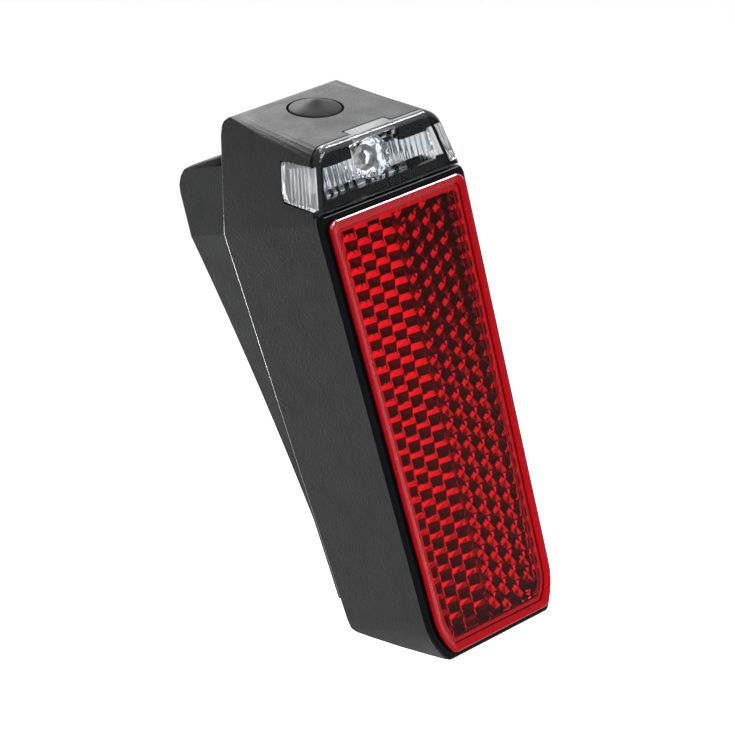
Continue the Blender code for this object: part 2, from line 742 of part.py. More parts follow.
def make_shield(parent):
    """Black chamber: a mask behind the window, a floor and a back wall round the LED."""
    inset = LENS_WALL + GAP
    front = LENS_WALL + GAP
    mask = case_block(inset, case_profile(front, inset, 0.0))
    keep_inside(mask, box((-FAR, 0.0, FRAME_TOP + 2 * GAP), (FAR, front + SHIELD_WALL, 2 * FAR)))
    half_low = WINDOW_WIDTH / 2 + WINDOW_LEAN
    half_high = WINDOW_WIDTH / 2 - WINDOW_LEAN
    notch = NOTCH_WIDTH / 2
    window = [
        (-half_low, WINDOW_SILL),
        (half_low, WINDOW_SILL),
        (half_high, WINDOW_HEAD),
        (notch, WINDOW_HEAD),
        (notch, 2 * FAR),
        (-notch, 2 * FAR),
        (-notch, WINDOW_HEAD),
        (-half_high, WINDOW_HEAD),
    ]
    cut(mask, prism(window, "Y", 0.0, FAR))
    room = case_block(WALL + GAP, case_profile(front, WALL + GAP, 0.0))
    floor_low = FRAME_TOP + 3 * GAP
    floor = box((-FAR, front + SHIELD_WALL / 2, floor_low), (FAR, CHAMBER_DEPTH, floor_low + SHIELD_WALL))
    half_wall = LAMP_BOARD_WIDTH / 2
    wall = box((-half_wall, CHAMBER_DEPTH - SHIELD_WALL, floor_low), (half_wall, CHAMBER_DEPTH, 2 * FAR))
    keep_inside(join(floor, wall), room)
    join(mask, floor)
    hole = peg(LED_SIZE / 2 * math.sqrt(2) + GAP, -FAR / 4, FAR / 4)
    forward = Matrix.Rotation(math.pi / 2, 4, "X")
    place = Matrix.Translation((0.0, CHAMBER_DEPTH, LAMP_HEIGHT))
    hole_cut = placed(hole, place @ forward)
    keep_inside(hole_cut, box((-FAR, CHAMBER_DEPTH - 2 * SHIELD_WALL, 0.0), (FAR, FAR, 2 * FAR)))
    cut(mask, hole_cut)
    half = SENSOR_SIZE / 2 + GAP
    port = box(
        (SENSOR_OFFSET - half, CHAMBER_DEPTH - 2 * SHIELD_WALL, LAMP_HEIGHT - half),
        (SENSOR_OFFSET + half, CHAMBER_DEPTH + SHIELD_WALL, LAMP_HEIGHT + half),
    )
    cut(mask, port)
    return name_part(mask, "light_shield", "gloss_black", parent)


def make_optic(parent):
    """Clear collimator round the LED, with fluted wings that spread light sideways."""
    throat = [
        (0.0, -OPTIC_BACK + LED_DOME),
        (LED_DOME, -OPTIC_BACK + LED_DOME),
        (LED_DOME, -OPTIC_BACK),
        (OPTIC_THROAT, -OPTIC_BACK),
        (OPTIC_RADIUS, -OPTIC_FRONT - WING_THICKNESS),
        (OPTIC_RADIUS, -OPTIC_FRONT),
        (OPTIC_RADIUS * 0.6, -OPTIC_FRONT + FLUTE_DEPTH),
        (0.0, -OPTIC_FRONT + FLUTE_DEPTH * 1.5),
    ]
    optic = turned(throat)
    facing = Matrix.Translation((0.0, 0.0, LAMP_HEIGHT)) @ Matrix.Rotation(math.pi / 2, 4, "X")
    placed(optic, facing)
    reach = WINDOW_WIDTH / 2 + WING_REACH
    front = LENS_WALL + GAP + SHIELD_WALL + GAP
    count = int(2 * reach / FLUTE_PITCH)
    waves = []
    for index in range(count * 4 + 1):
        x = -reach + 2 * reach * index / (count * 4)
        waves.append((x, front + FLUTE_DEPTH * abs(math.sin(math.pi * index / 4))))
    bar = waves + [(reach, front + WING_THICKNESS), (-reach, front + WING_THICKNESS)]
    low = LAMP_HEIGHT - WING_HEIGHT / 2 - WING_DROP
    join(optic, prism(bar, "Z", low, low + WING_HEIGHT))
    return name_part(optic, "lens_optic", "clear_plastic", parent, smooth=True)


LAMP_BOARD_FRONT = CHAMBER_DEPTH + 2 * GAP + LED_THICKNESS / 2


def make_lamp_electronics(parent):
    """LED, light sensor and the small upright board that carries them."""
    forward = Matrix.Rotation(math.pi / 2, 4, "X")
    back = LAMP_BOARD_FRONT - GAP
    half = LED_SIZE / 2
    low = (-half, back - LED_THICKNESS, LAMP_HEIGHT - half)
    led = box(low, (half, back, LAMP_HEIGHT + half))
    arc = [
        (LED_DOME * math.cos(a), LED_DOME * math.sin(a))
        for a in (math.pi / 2 * step / 5 for step in range(6))
    ]
    dome = turned([(0.0, -LED_THICKNESS / 2), (LED_DOME, -LED_THICKNESS / 2)] + arc[:-1] + [(0.0, LED_DOME)])
    place = Matrix.Translation((0.0, back - LED_THICKNESS, LAMP_HEIGHT))
    join(led, placed(dome, place @ forward))
    name_part(led, "led", "led_yellow", parent, smooth=True)
    reach = SENSOR_SIZE / 2
    sensor = box(
        (SENSOR_OFFSET - reach, back - LED_THICKNESS, LAMP_HEIGHT - reach),
        (SENSOR_OFFSET + reach, back, LAMP_HEIGHT + reach),
    )
    name_part(sensor, "light_sensor", "chip_black", parent)
    board = box(
        (-LAMP_BOARD_WIDTH / 2, LAMP_BOARD_FRONT, LAMP_HEIGHT - LAMP_BOARD_HEIGHT / 2),
        (LAMP_BOARD_WIDTH / 2, LAMP_BOARD_FRONT + LAMP_BOARD_THICKNESS, LAMP_HEIGHT + LAMP_BOARD_HEIGHT / 2),
    )
    name_part(board, "lamp_board", "board_green", parent)


def make_button(top):
    """Rubber cap with a low cone, a neck through the case, a flange and a stem."""
    profile = [
        (0.0, -STEM_END),
        (BUTTON_STEM_RADIUS, -STEM_END),
        (BUTTON_STEM_RADIUS, -BUTTON_NECK - BUTTON_FLANGE),
        (BUTTON_FLANGE_RADIUS, -BUTTON_NECK - BUTTON_FLANGE),
        (BUTTON_FLANGE_RADIUS, -BUTTON_NECK),
        (BUTTON_RADIUS, -BUTTON_NECK),
        (BUTTON_RADIUS, -BUTTON_EDGE),
        (BUTTON_RADIUS - 2 * BUTTON_EDGE, BUTTON_EDGE),
        (BUTTON_RADIUS * 0.62, BUTTON_RISE * 0.36),
        (BUTTON_RADIUS * 0.34, BUTTON_RISE * 0.68),
        (BUTTON_RADIUS * 0.14, BUTTON_RISE * 0.93),
        (0.0, BUTTON_RISE),
    ]
    name_part(turned(profile), "push_button", "rubber", top, smooth=True)


def make_button_seal(top):
    """Rubber washer between the button's flange and the case."""
    high = -WALL - GAP
    inner = BUTTON_RADIUS + GAP
    ring = [
        (inner, high - BUTTON_SEAL),
        (BUTTON_FLANGE_RADIUS, high - BUTTON_SEAL),
        (BUTTON_FLANGE_RADIUS, high),
        (inner, high),
        (inner, high - BUTTON_SEAL),
    ]
    name_part(turned(ring), "button_seal", "rubber", top, smooth=True)


def make_switch(top):
    """Tactile switch: a square body with a round well, and its plunger."""
    half = SWITCH_SIZE / 2
    body = box((-half, -half, -SWITCH_TOP - SWITCH_HEIGHT), (half, half, -SWITCH_TOP))
    well = PLUNGER_TOP + PLUNGER_LENGTH + BUTTON_TRAVEL + GAP
    cut(body, peg(PLUNGER_RADIUS + GAP, -well, 0.0))
    name_part(body, "switch_body", "chip_black", top)
    plunger = peg(PLUNGER_RADIUS, -PLUNGER_TOP - PLUNGER_LENGTH, -PLUNGER_TOP)
    name_part(plunger, "switch_plunger", "white_plastic", top, smooth=True)


def make_driver_board(top):
    """Main board under the switch, with its driver chip and its coil."""
    half = BOARD_WIDTH / 2
    board = box((-half, -BOARD_FRONT, -BOARD_BOTTOM), (half, BOARD_BACK, -BOARD_TOP))
    name_part(board, "driver_board", "board_green", top)
    chip_top = -BOARD_TOP + GAP
    right = half - CHIP_MARGIN
    chip = box(
        (right - CHIP_WIDTH, -CHIP_LENGTH / 2, chip_top),
        (right, CHIP_LENGTH / 2, chip_top + CHIP_HEIGHT),
    )
    name_part(chip, "driver_chip", "chip_black", top)
    coil = peg(COIL_RADIUS, chip_top, chip_top + COIL_HEIGHT)
    placed(coil, Matrix.Translation((-half + CHIP_MARGIN + COIL_RADIUS, 0.0, 0.0)))
    name_part(coil, "inductor", "chip_black", top, smooth=True)


def make_cells(parent):
    """Two small round cells, one each way up."""
    radius = CELL_DIAMETER / 2
    length = CELL_LENGTH - CELL_NUB
    profile = [
        (0.0, 0.0),
        (radius - 2 * CELL_CRIMP, 0.0),
        (radius, CELL_CRIMP),
        (radius, length - CELL_CRIMP),
        (radius - 1.5 * CELL_CRIMP, length),
        (CELL_NUB_RADIUS, length),
        (CELL_NUB_RADIUS, CELL_LENGTH),
        (0.0, CELL_LENGTH),
    ]
    for name, side, low in (
        ("battery_left", -1, LOW_SEAT + SPRING_HEIGHT + GAP),
        ("battery_right", 1, LOW_SEAT),
    ):
        cell = turned(profile, 24)
        if side > 0:
            placed(cell, Matrix.Translation((0, 0, CELL_LENGTH)) @ Matrix.Rotation(math.pi, 4, "X"))
        placed(cell, Matrix.Translation((side * CELL_SPACING / 2, CELL_Y, low)))
        name_part(cell, name, "cell_sleeve", parent, smooth=True)


def make_tray(parent):
    """Cradle with two round beds, end walls for the contacts and a low saddle between."""
    front = CELL_FRONT - GAP - TRAY_WALL
    tray = box((-TRAY_HALF, front, TRAY_FLOOR), (TRAY_HALF, CELL_Y, TRAY_TOP))
    for side in (-1, 1):
        bed = peg(CELL_DIAMETER / 2 + GAP, TRAY_FLOOR + TRAY_WALL, TRAY_TOP - TRAY_WALL)
        cut(tray, placed(bed, Matrix.Translation((side * CELL_SPACING / 2, CELL_Y, 0.0))))
    saddle = box(
        (-TRAY_WALL, TRAY_SADDLE, TRAY_FLOOR + TRAY_WALL),
        (TRAY_WALL, FAR, TRAY_TOP - TRAY_WALL),
    )
    cut(tray, saddle)
    slot_half = TRAY_HALF - TRAY_WALL
    for low, high in (
        (LOW_PLATE - GAP, LOW_SEAT + GAP),
        (HIGH_PLATE - GAP, TRAY_TOP - TRAY_WALL),
    ):
        cut(tray, box((-slot_half, CELL_Y - CONTACT_WIDTH / 2 - GAP, low), (slot_half, FAR, high)))
    return name_part(tray, "battery_tray", "white_plastic", parent)


def board_under(y):
    """Height of the driver board's underside above a point, less the usual gap."""
    along = (y - BUTTON_PLACE - (BOARD_BOTTOM + GAP) * math.sin(TOP_SLOPE)) / math.cos(TOP_SLOPE)
    rise = along * math.sin(TOP_SLOPE) - (BOARD_BOTTOM + GAP) * math.cos(TOP_SLOPE)
    return top_z(BUTTON_PLACE) + rise


def make_contacts(parent):
    """Bridge plate below the cells, and two strips that rise from them to the board."""
    half = CONTACT_WIDTH / 2
    reach = CELL_SPACING / 2 + half
    low = (-reach, CELL_Y - half, LOW_PLATE)
    bridge = box(low, (reach, CELL_Y + half, LOW_PLATE + CONTACT_SHEET))
    name_part(bridge, "bridge_plate", "steel", parent)
    for name, side in (("positive_strip", -1), ("negative_strip", 1)):
        x = side * CELL_SPACING / 2
        strip = box(
            (x - half, CELL_Y - half, HIGH_PLATE),
            (x + half, CELL_Y + half, HIGH_PLATE + CONTACT_SHEET),
        )
        tail_half = CONTACT_TAIL_WIDTH / 2
        tail_back = CELL_Y + half
        tail_front = tail_back - CONTACT_SHEET
        high = board_under(tail_front)
        low = HIGH_PLATE + CONTACT_SHEET / 2
        join(strip, box((x - tail_half, tail_front, low), (x + tail_half, tail_back, high)))
        name_part(strip, name, "steel", parent)


def make_springs(parent):
    """Conical wire springs, one under the left cell and one over the right cell."""
    for name, side, start, flip in (
        ("spring_left", -1, LOW_SEAT, 1),
        ("spring_right", 1, HIGH_PLATE - GAP, -1),
    ):
        curve = bpy.data.curves.new(name, "CURVE")
        curve.dimensions = "3D"
        curve.bevel_depth = SPRING_WIRE / 2
        curve.bevel_resolution = 1
        curve.use_fill_caps = True
        line = curve.splines.new("POLY")
        steps = int(SPRING_TURNS * 14)
        line.points.add(steps)
        for step in range(steps + 1):
            part = step / steps
            turn = math.tau * SPRING_TURNS * part
            radius = SPRING_BASE_RADIUS + (SPRING_TIP_RADIUS - SPRING_BASE_RADIUS) * part
            rise = SPRING_WIRE / 2 + (SPRING_HEIGHT - SPRING_WIRE) * part
            place = (
                side * CELL_SPACING / 2 + radius * math.cos(turn),
                CELL_Y + radius * math.sin(turn) * flip,
                start + flip * rise,
            )
            line.points[step].co = (*place, 1.0)
        spring = bpy.data.objects.new(name, curve)
        bpy.context.collection.objects.link(spring)
        spring.parent = parent
        curve.materials.append(finish_material("steel"))


def sweep_y(z, stand=0.0):
    """Depth of the mudguard's curve at a height, moved out along Y by stand."""
    centre = SWEEP_HEIGHT - SWEEP_RADIUS * math.sin(SWEEP_TILT)
    lean = math.asin((z - centre) / SWEEP_RADIUS)
    return SWEEP_DEPTH + SWEEP_RADIUS * (math.cos(SWEEP_TILT) - math.cos(lean)) + stand


def base_top_z(y):
    return BASE_TOP_FRONT - (y - CASE_DEPTH_TOP) * math.tan(BASE_TOP_FALL)


def base_profile(shrink, front_reach):
    """Side outline of the wedge: case edge, curved back and falling top."""
    front = GAP - front_reach
    back_shrink = shrink * BASE_BACK_WALL / BASE_WALL
    low = OPENING_SILL - BASE_OVERLAP + shrink
    high = base_top_z(sweep_y(BASE_TOP_FRONT)) - shrink
    steps = 16
    curve = []
    for step in range(steps + 1):
        z = low + (high - low) * step / steps
        depth = max(sweep_y(z) - back_shrink, back_y(z, GAP + BASE_FLANGE - back_shrink))
        if depth > back_y(z, front) + GAP:
            curve.append((depth, z))
    start = curve[0][1]
    top_front = (back_y(BASE_TOP_FRONT, front), base_top_z(back_y(BASE_TOP_FRONT)) - shrink)
    points = [(back_y(start, front), start)] + curve
    radii = [0.0] * (len(points) - 1) + [max(BASE_TOP_RADIUS - shrink, GAP), 0.0, 0.0]
    points += [top_front, (back_y(FOLD_HEIGHT, front), FOLD_HEIGHT)]
    return rounded(points, radii)


def wedge_block(inset, shrink, front_reach):
    """The part of the base that shows behind the case."""
    wedge = prism(front_outline(inset, BASE_TOP_FRONT + FAR / 4), "Y", -FAR, FAR)
    keep_inside(wedge, prism(base_profile(shrink, front_reach), "X", -FAR, FAR))
    bm = bmesh.new()
    bm.from_mesh(wedge.data)
    fall = Vector((0.0, math.sin(BASE_TOP_FALL), math.cos(BASE_TOP_FALL)))
    chosen = []
    for edge in bm.edges:
        along = (edge.verts[1].co - edge.verts[0].co).normalized()
        on_top = any(face.normal.dot(fall) > 0.99 for face in edge.link_faces)
        if on_top and abs(along.x) < 0.1 and len(edge.link_faces) == 2:
            chosen.append(edge)
    setback = max(TOP_EDGE_SETBACK * 0.7 - shrink, GAP)
    bmesh.ops.bevel(bm, geom=chosen, offset=setback, segments=4, profile=0.5, affect="EDGES")
    bm.to_mesh(wedge.data)
    bm.free()
    return wedge


def plug_block(inset, sill, front_reach, back_reach):
    """The part of the base that plugs into the case's doorway."""
    thing = prism(front_outline(inset, TOP_FRONT_HEIGHT + FAR / 4), "Y", -FAR, FAR)
    heights = (sill, FOLD_HEIGHT, CASE_BACK_TOP[1])
    reaches = (front_reach, front_reach, min(front_reach, PLUG_TOP_LENGTH))
    front = [back_y(z, -reach) for z, reach in zip(heights, reaches)]
    back = [back_y(z, back_reach) for z in heights]
    outline = [
        (front[0], sill),
        (back[0], sill),
        (back[1], FOLD_HEIGHT),
        (back[2], top_z(back[2], inset)),
        (front[2], top_z(front[2], inset)),
        (front[1], FOLD_HEIGHT),
    ]
    keep_inside(thing, prism(outline, "X", -FAR, FAR))
    return round_top_edges(thing, inset, edge_setback(inset))


def seat_matrix(offset):
    """Local Z leaves the light square to the mudguard, at a mounting screw."""
    origin = mount_point()
    out = Vector((0.0, math.cos(SWEEP_TILT), -math.sin(SWEEP_TILT)))
    up = Vector((0.0, math.sin(SWEEP_TILT), math.cos(SWEEP_TILT)))
    across = up.cross(out)
    turn = Matrix((across, up, out)).transposed().to_4x4()
    return Matrix.Translation(origin + up * offset) @ turn


def mount_point():
    """Half way between the two mounting screws, on the plane of their seats."""
    out = Vector((0.0, math.cos(SWEEP_TILT), -math.sin(SWEEP_TILT)))
    return Vector((0.0, SWEEP_DEPTH, SWEEP_HEIGHT)) + out * SEAT_STAND


SEATS = (("lower", -SCREW_SPACING / 2), ("upper", SCREW_SPACING / 2))
BOSS_PROFILE = (
    (0.0, -BOSS_DEPTH),
    (BOSS_RADIUS, -BOSS_DEPTH),
    (BOSS_RADIUS, -BASE_BACK_WALL),
    (SEAT_RADIUS, -BASE_BACK_WALL),
    (SEAT_RADIUS, 0.0),
    (0.0, 0.0),
)


def make_base(parent):
    """Rear base: a hollow wedge with a plug, two screw bosses, ribs and a pad recess."""
    plug_inset = WALL + GAP
    base = plug_block(plug_inset, OPENING_SILL + GAP, PLUG_LENGTH, 2 * GAP)
    groove = plug_block(0.0, OPENING_SILL - OVERSHOOT, SEAL_SETBACK + SEAL_WIDTH + GAP, GAP - SEAL_SETBACK)
    seat = plug_inset + SEAL_DEPTH + GAP
    cut(groove, plug_block(seat, OPENING_SILL + GAP + SEAL_DEPTH + GAP, FAR / 4, FAR / 4))
    cut(base, groove)
    join(base, wedge_block(BASE_STEP, 0.0, 0.0))
    inner = plug_inset + PLUG_WALL
    low = OPENING_SILL + GAP + PLUG_WALL
    cut(base, plug_block(inner, low, FAR, 2 * GAP - PLUG_WALL))
    passage = plug_block(inner + GAP, low + GAP, PLUG_WALL + GAP, FAR / 4)
    cut(base, keep_inside(passage, prism(base_profile(BASE_WALL + GAP / 2, PLUG_LENGTH), "X", -FAR, FAR)))
    cut(base, wedge_block(BASE_STEP + BASE_WALL, BASE_WALL, -BASE_FLANGE))
    ribs = base_ribs()
    keep_inside(ribs, wedge_block(inner - PLUG_WALL / 2, BASE_WALL / 2, PLUG_LENGTH))
    join(base, ribs)
    join(base, closing_post())
    cut(base, pad_band(GAP, -FAR / 4))
    bosses = None
    holes = closing_screw_solid(GAP)
    for _, offset in SEATS:
        boss = placed(turned(BOSS_PROFILE), seat_matrix(offset))
        bosses = boss if bosses is None else join(bosses, boss)
        hole = peg(INSERT_RADIUS + GAP, -INSERT_LENGTH - 2 * GAP, OVERSHOOT)
        join(holes, placed(hole, seat_matrix(offset)))
    join(base, bosses)
    cut(base, holes)
    return name_part(base, "rear_base", "base_plastic", parent, smooth=True)


def base_ribs():
    """Cross webs at the two bosses, reaching forward from the back wall."""
    ribs = None
    for _, offset in SEATS:
        centre = seat_matrix(offset).translation
        web = box(
            (-FAR, centre.y - BOSS_DEPTH + GAP, centre.z - BASE_WALL / 3),
            (FAR, centre.y + FAR / 4, centre.z + BASE_WALL / 3),
        )
        ribs = web if ribs is None else join(ribs, web)
    return ribs


def closing_post():
    """Post that takes the closing screw, hung from the plug's lower edge."""
    start = WALL + GAP
    post = placed(peg(CLOSING_POST_RADIUS, start, CLOSING_POST_LENGTH), chin_frame_matrix())
    web_half = BASE_WALL / 2
    web = box(
        (-web_half, CLOSING_PLACE - CLOSING_POST_RADIUS, OPENING_SILL - CLOSING_WEB_HEIGHT),
        (web_half, back_y(OPENING_SILL, -WALL - 2 * GAP), OPENING_SILL + PLUG_WALL),
    )
    return join(post, web)


def pad_band(growth, back):
    """A band that follows the mudguard's curve, with round holes at the seats."""
    low = OPENING_SILL + PAD_MARGIN - growth
    high = BASE_TOP_FRONT - PAD_MARGIN + growth
    steps = 10
    heights = [low + (high - low) * step / steps for step in range(steps + 1)]
    inside = [(sweep_y(z, -PAD_RECESS - growth), z) for z in heights]
    outside = [(sweep_y(z, PAD_STAND if back is None else OVERSHOOT), z) for z in heights]
    half = PAD_WIDTH / 2 + growth
    band = prism(inside + outside[::-1], "X", -half, half)
    if back is None:
        for _, offset in SEATS:
            cut(band, placed(peg(SEAT_RADIUS + GAP, -FAR / 4, FAR / 4), seat_matrix(offset)))
    return band


def make_pad(parent):
    """Rubber pad that protects the mudguard's paint."""
    name_part(pad_band(0.0, None), "mudguard_pad", "rubber", parent, smooth=True)


def make_inserts(parent):
    """Threaded brass inserts for the two screws that come through the mudguard."""
    waist = INSERT_RADIUS - INSERT_GROOVE
    length = INSERT_LENGTH
    profile = [
        (INSERT_BORE_RADIUS, -length),
        (INSERT_RADIUS, -length),
        (INSERT_RADIUS, -length * 0.6),
        (waist, -length * 0.55),
        (waist, -length * 0.45),
        (INSERT_RADIUS, -length * 0.4),
        (INSERT_RADIUS, -GAP),
        (INSERT_BORE_RADIUS, -GAP),
        (INSERT_BORE_RADIUS, -length),
    ]
    for label, offset in SEATS:
        insert = placed(turned(profile, 24), seat_matrix(offset))
        name_part(insert, f"threaded_insert_{label}", "brass", parent, smooth=True)


def make_seal(parent):
    """Rubber ring in the plug's groove, against the case's inner wall."""
    outer = WALL + GAP
    low = OPENING_SILL + GAP
    reach = SEAL_SETBACK + SEAL_WIDTH
    ring = plug_block(outer, low, reach, -SEAL_SETBACK)
    cut(ring, plug_block(outer + SEAL_DEPTH, low + SEAL_DEPTH, reach + OVERSHOOT, OVERSHOOT))
    name_part(ring, "base_seal", "rubber", parent)


def closing_screw_solid(growth):
    """The closing screw's form, or with growth the room that it needs."""
    head = CLOSING_HEAD_RADIUS + growth
    shank = CLOSING_SHANK_RADIUS + growth
    low = CLOSING_SUNK - (OVERSHOOT if growth else 0.0)
    profile = [
        (0.0, low),
        (head, low),
        (head, CLOSING_SUNK + growth / 2),
        (shank, CLOSING_SUNK + CLOSING_HEAD + growth),
        (shank, CLOSING_LENGTH + growth),
        (0.0, CLOSING_LENGTH + growth),
    ]
    return placed(turned(profile, 24), chin_frame_matrix())


def make_closing_screw(parent):
    """Countersunk screw with a cross recess, up through the chin."""
    screw = closing_screw_solid(0.0)
    slot = CLOSING_SLOT / 2
    reach = CLOSING_HEAD_RADIUS * 0.6
    deep = CLOSING_HEAD * 0.7
    cross = box((-slot, -reach, -OVERSHOOT), (slot, reach, deep))
    join(cross, box((-reach, -slot, -OVERSHOOT / 2), (reach, slot, deep * 0.98)))
    cut(screw, placed(cross, chin_frame_matrix()))
    name_part(screw, "closing_screw", "steel", parent, smooth=True)


def build():
    clear_scene()
    root = make_empty("light", -mount_point())
    top = make_empty("top_face", (0.0, BUTTON_PLACE, top_z(BUTTON_PLACE)), TOP_SLOPE, root)
    make_housing(root)
    make_front_frame(root)
    make_reflector(root)
    make_backing(root)
    make_lens(root)
    make_shield(root)
    make_optic(root)
    make_lamp_electronics(root)
    make_button(top)
    make_button_seal(top)
    make_switch(top)
    make_driver_board(top)
    make_cells(root)
    make_tray(root)
    make_contacts(root)
    make_springs(root)
    make_base(root)
    make_pad(root)
    make_inserts(root)
    make_seal(root)
    make_closing_screw(root)


build()
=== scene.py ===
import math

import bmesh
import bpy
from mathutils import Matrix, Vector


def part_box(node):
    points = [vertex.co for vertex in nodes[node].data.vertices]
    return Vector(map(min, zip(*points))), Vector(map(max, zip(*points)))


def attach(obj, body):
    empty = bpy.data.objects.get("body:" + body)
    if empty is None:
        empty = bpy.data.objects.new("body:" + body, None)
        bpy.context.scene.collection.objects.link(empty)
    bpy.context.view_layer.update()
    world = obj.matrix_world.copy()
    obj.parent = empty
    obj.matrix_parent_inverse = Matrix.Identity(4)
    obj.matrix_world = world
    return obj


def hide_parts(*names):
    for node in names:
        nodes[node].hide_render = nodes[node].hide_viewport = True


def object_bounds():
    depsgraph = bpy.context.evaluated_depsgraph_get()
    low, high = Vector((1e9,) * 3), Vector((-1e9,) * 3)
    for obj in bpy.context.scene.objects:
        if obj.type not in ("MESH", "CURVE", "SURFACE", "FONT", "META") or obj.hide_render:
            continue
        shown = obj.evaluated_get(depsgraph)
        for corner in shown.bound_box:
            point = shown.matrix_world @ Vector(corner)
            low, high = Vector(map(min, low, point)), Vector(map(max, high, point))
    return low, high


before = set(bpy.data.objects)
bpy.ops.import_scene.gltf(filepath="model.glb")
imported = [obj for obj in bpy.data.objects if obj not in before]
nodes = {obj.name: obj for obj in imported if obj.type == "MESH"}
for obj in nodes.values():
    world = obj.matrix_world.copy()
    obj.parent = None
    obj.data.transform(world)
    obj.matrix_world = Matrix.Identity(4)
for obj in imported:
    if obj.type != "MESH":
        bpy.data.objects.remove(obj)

# %% [markdown]
# This lesson dresses a battery rear light for a bicycle mudguard. The solids come from the
# CAD model as a fixed frame: they already have their true size and place, so most of them
# only need a finish. A few that the eye goes to, such as the reflector and the clear window,
# are modelled again here with more detail, and each new piece stands for its CAD node.

MM = 0.001
cad_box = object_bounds()
cad_size = [high - low for low, high in zip(*cad_box)]
print("CAD box, mm:", [round(side / MM, 1) for side in cad_size])

# %% [markdown]
# The photograph was taken from the left of the reflector and slightly above it, and the
# light leans over in the picture. Rolling the camera gives the same lean, and the light
# itself stays upright, as it hangs on the mudguard.

# %% The camera
CAMERA_AZIMUTH = math.radians(-41.228)
CAMERA_ELEVATION = math.radians(10.892)
CAMERA_ROLL = math.radians(-13.9)
CAMERA_DISTANCE = 0.5917
CAMERA_PAN = (0.022988, -0.046273)
CAMERA_FOCAL_PIXELS = 3422.2
CAMERA_NEAR = 0.01
PHOTO_PIXELS = 735
SENSOR_WIDTH = 36.0
BOTTOM_FRONT_EDGE = Vector((0.0, -0.029625, -0.054778))


def camera_axes():
    """The camera's right, up and backward directions in the row frame."""
    level = math.cos(CAMERA_ELEVATION)
    back = Vector((
        math.sin(CAMERA_AZIMUTH) * level,
        -math.cos(CAMERA_AZIMUTH) * level,
        math.sin(CAMERA_ELEVATION),
    ))
    flat_right = Vector((0.0, 0.0, 1.0)).cross(back).normalized()
    flat_up = back.cross(flat_right)
    turn, lift = math.cos(CAMERA_ROLL), math.sin(CAMERA_ROLL)
    right = flat_right * turn + flat_up * lift
    up = flat_up * turn - flat_right * lift
    return right, up, back


right, up, back = camera_axes()
eye = BOTTOM_FRONT_EDGE - right * CAMERA_PAN[0] - up * CAMERA_PAN[1] + back * CAMERA_DISTANCE
lens = bpy.data.cameras.new("photo_camera")
lens.sensor_width = SENSOR_WIDTH
lens.lens = CAMERA_FOCAL_PIXELS * SENSOR_WIDTH / PHOTO_PIXELS
lens.clip_start = CAMERA_NEAR
camera = bpy.data.objects.new("photo_camera", lens)
camera.matrix_world = Matrix.Translation(eye) @ Matrix((right, up, back)).transposed().to_4x4()
bpy.context.collection.objects.link(camera)
bpy.context.scene.camera = camera
print("camera stands", round(eye.length, 3), "m away with a", round(lens.lens, 1), "mm lens")

# %% [markdown]
# A plain pale floor and soft light from all sides stand for the white studio. Four area
# lights shape it: a large one above and behind for the sloping top, a large one in front of
# the reflector, a small one low at the back that catches the thin edge between the case and
# its base, and a small one on the right that runs along the reflector's rim. The camera
# doesn't see the lamps themselves, but the glossy pieces still mirror them.

# %% The studio
FLOOR_DROP = 0.12
FLOOR_SIZE = 12.0
WORLD_STRENGTH = 1.15
PALE_GREY = (0.86, 0.86, 0.86)
AREA_LIGHTS = (
    ("top_light", (0.35, 0.45, 0.6), 0.5, 5.0),
    ("back_light", (-0.1, 0.88, -0.18), 0.2, 3.0),
    ("edge_light", (0.585, -0.153, 0.65), 0.15, 2.2),
    ("front_light", (0.2, -0.8, 0.55), 0.4, 5.0),
)


def plain_material(name, colour, roughness):
    """A material with one shader, for the studio and as the start of every finish."""
    material = bpy.data.materials.new(name)
    material.use_nodes = True
    shader = material.node_tree.nodes["Principled BSDF"]
    shader.inputs["Base Color"].default_value = (*colour, 1.0)
    shader.inputs["Roughness"].default_value = roughness
    return material


bpy.ops.object.select_all(action="DESELECT")
bpy.ops.mesh.primitive_plane_add(
    size=FLOOR_SIZE, location=(0.0, 0.0, BOTTOM_FRONT_EDGE.z - FLOOR_DROP)
)
floor = bpy.context.object
floor.name = "studio_floor"
floor.data.materials.append(plain_material("pale_floor", PALE_GREY, 0.9))

world = bpy.data.worlds.new("white_studio")
world.use_nodes = True
background = world.node_tree.nodes["Background"]
background.inputs["Color"].default_value = (1.0, 1.0, 1.0, 1.0)
background.inputs["Strength"].default_value = WORLD_STRENGTH
bpy.context.scene.world = world


def area_light(name, place, size, watts):
    """A square soft light that points at the middle of the part."""
    light = bpy.data.lights.new(name, "AREA")
    light.size = size
    light.energy = watts
    lamp = bpy.data.objects.new(name, light)
    lamp.location = place
    lamp.visible_camera = False
    lamp.rotation_euler = (-Vector(place)).to_track_quat("-Z", "Y").to_euler()
    bpy.context.collection.objects.link(lamp)


for settings in AREA_LIGHTS:
    area_light(*settings)
bpy.context.scene.view_settings.view_transform = "Standard"
print("studio ready with", len(AREA_LIGHTS), "area lights")

# %% [markdown]
# Every size below is in millimetres from the middle of the case's bottom front edge, as a
# maker would measure the real light, and `at` turns such a place into the row frame. Two
# measures count as the same when they are near, a normal that points almost along an axis
# counts as facing that way, and two faces make a fold only if they meet at a clear angle.

# %% Helpers for places and selections
MERGE = 0.001 * MM
NEAR = 0.02 * MM
FACING = 0.9
FLAT_ANGLE = math.radians(0.3)
FOLD_ANGLE = math.radians(30)
SMOOTH_DEGREES = 28


def at(x, y, z):
    """A place in millimetres from the bottom front edge, as a point of the row frame."""
    return Vector((x, y, z)) * MM + BOTTOM_FRONT_EDGE


def near(first, second):
    """Whether two measures differ by less than a fiftieth of a millimetre."""
    return abs(first - second) < NEAR


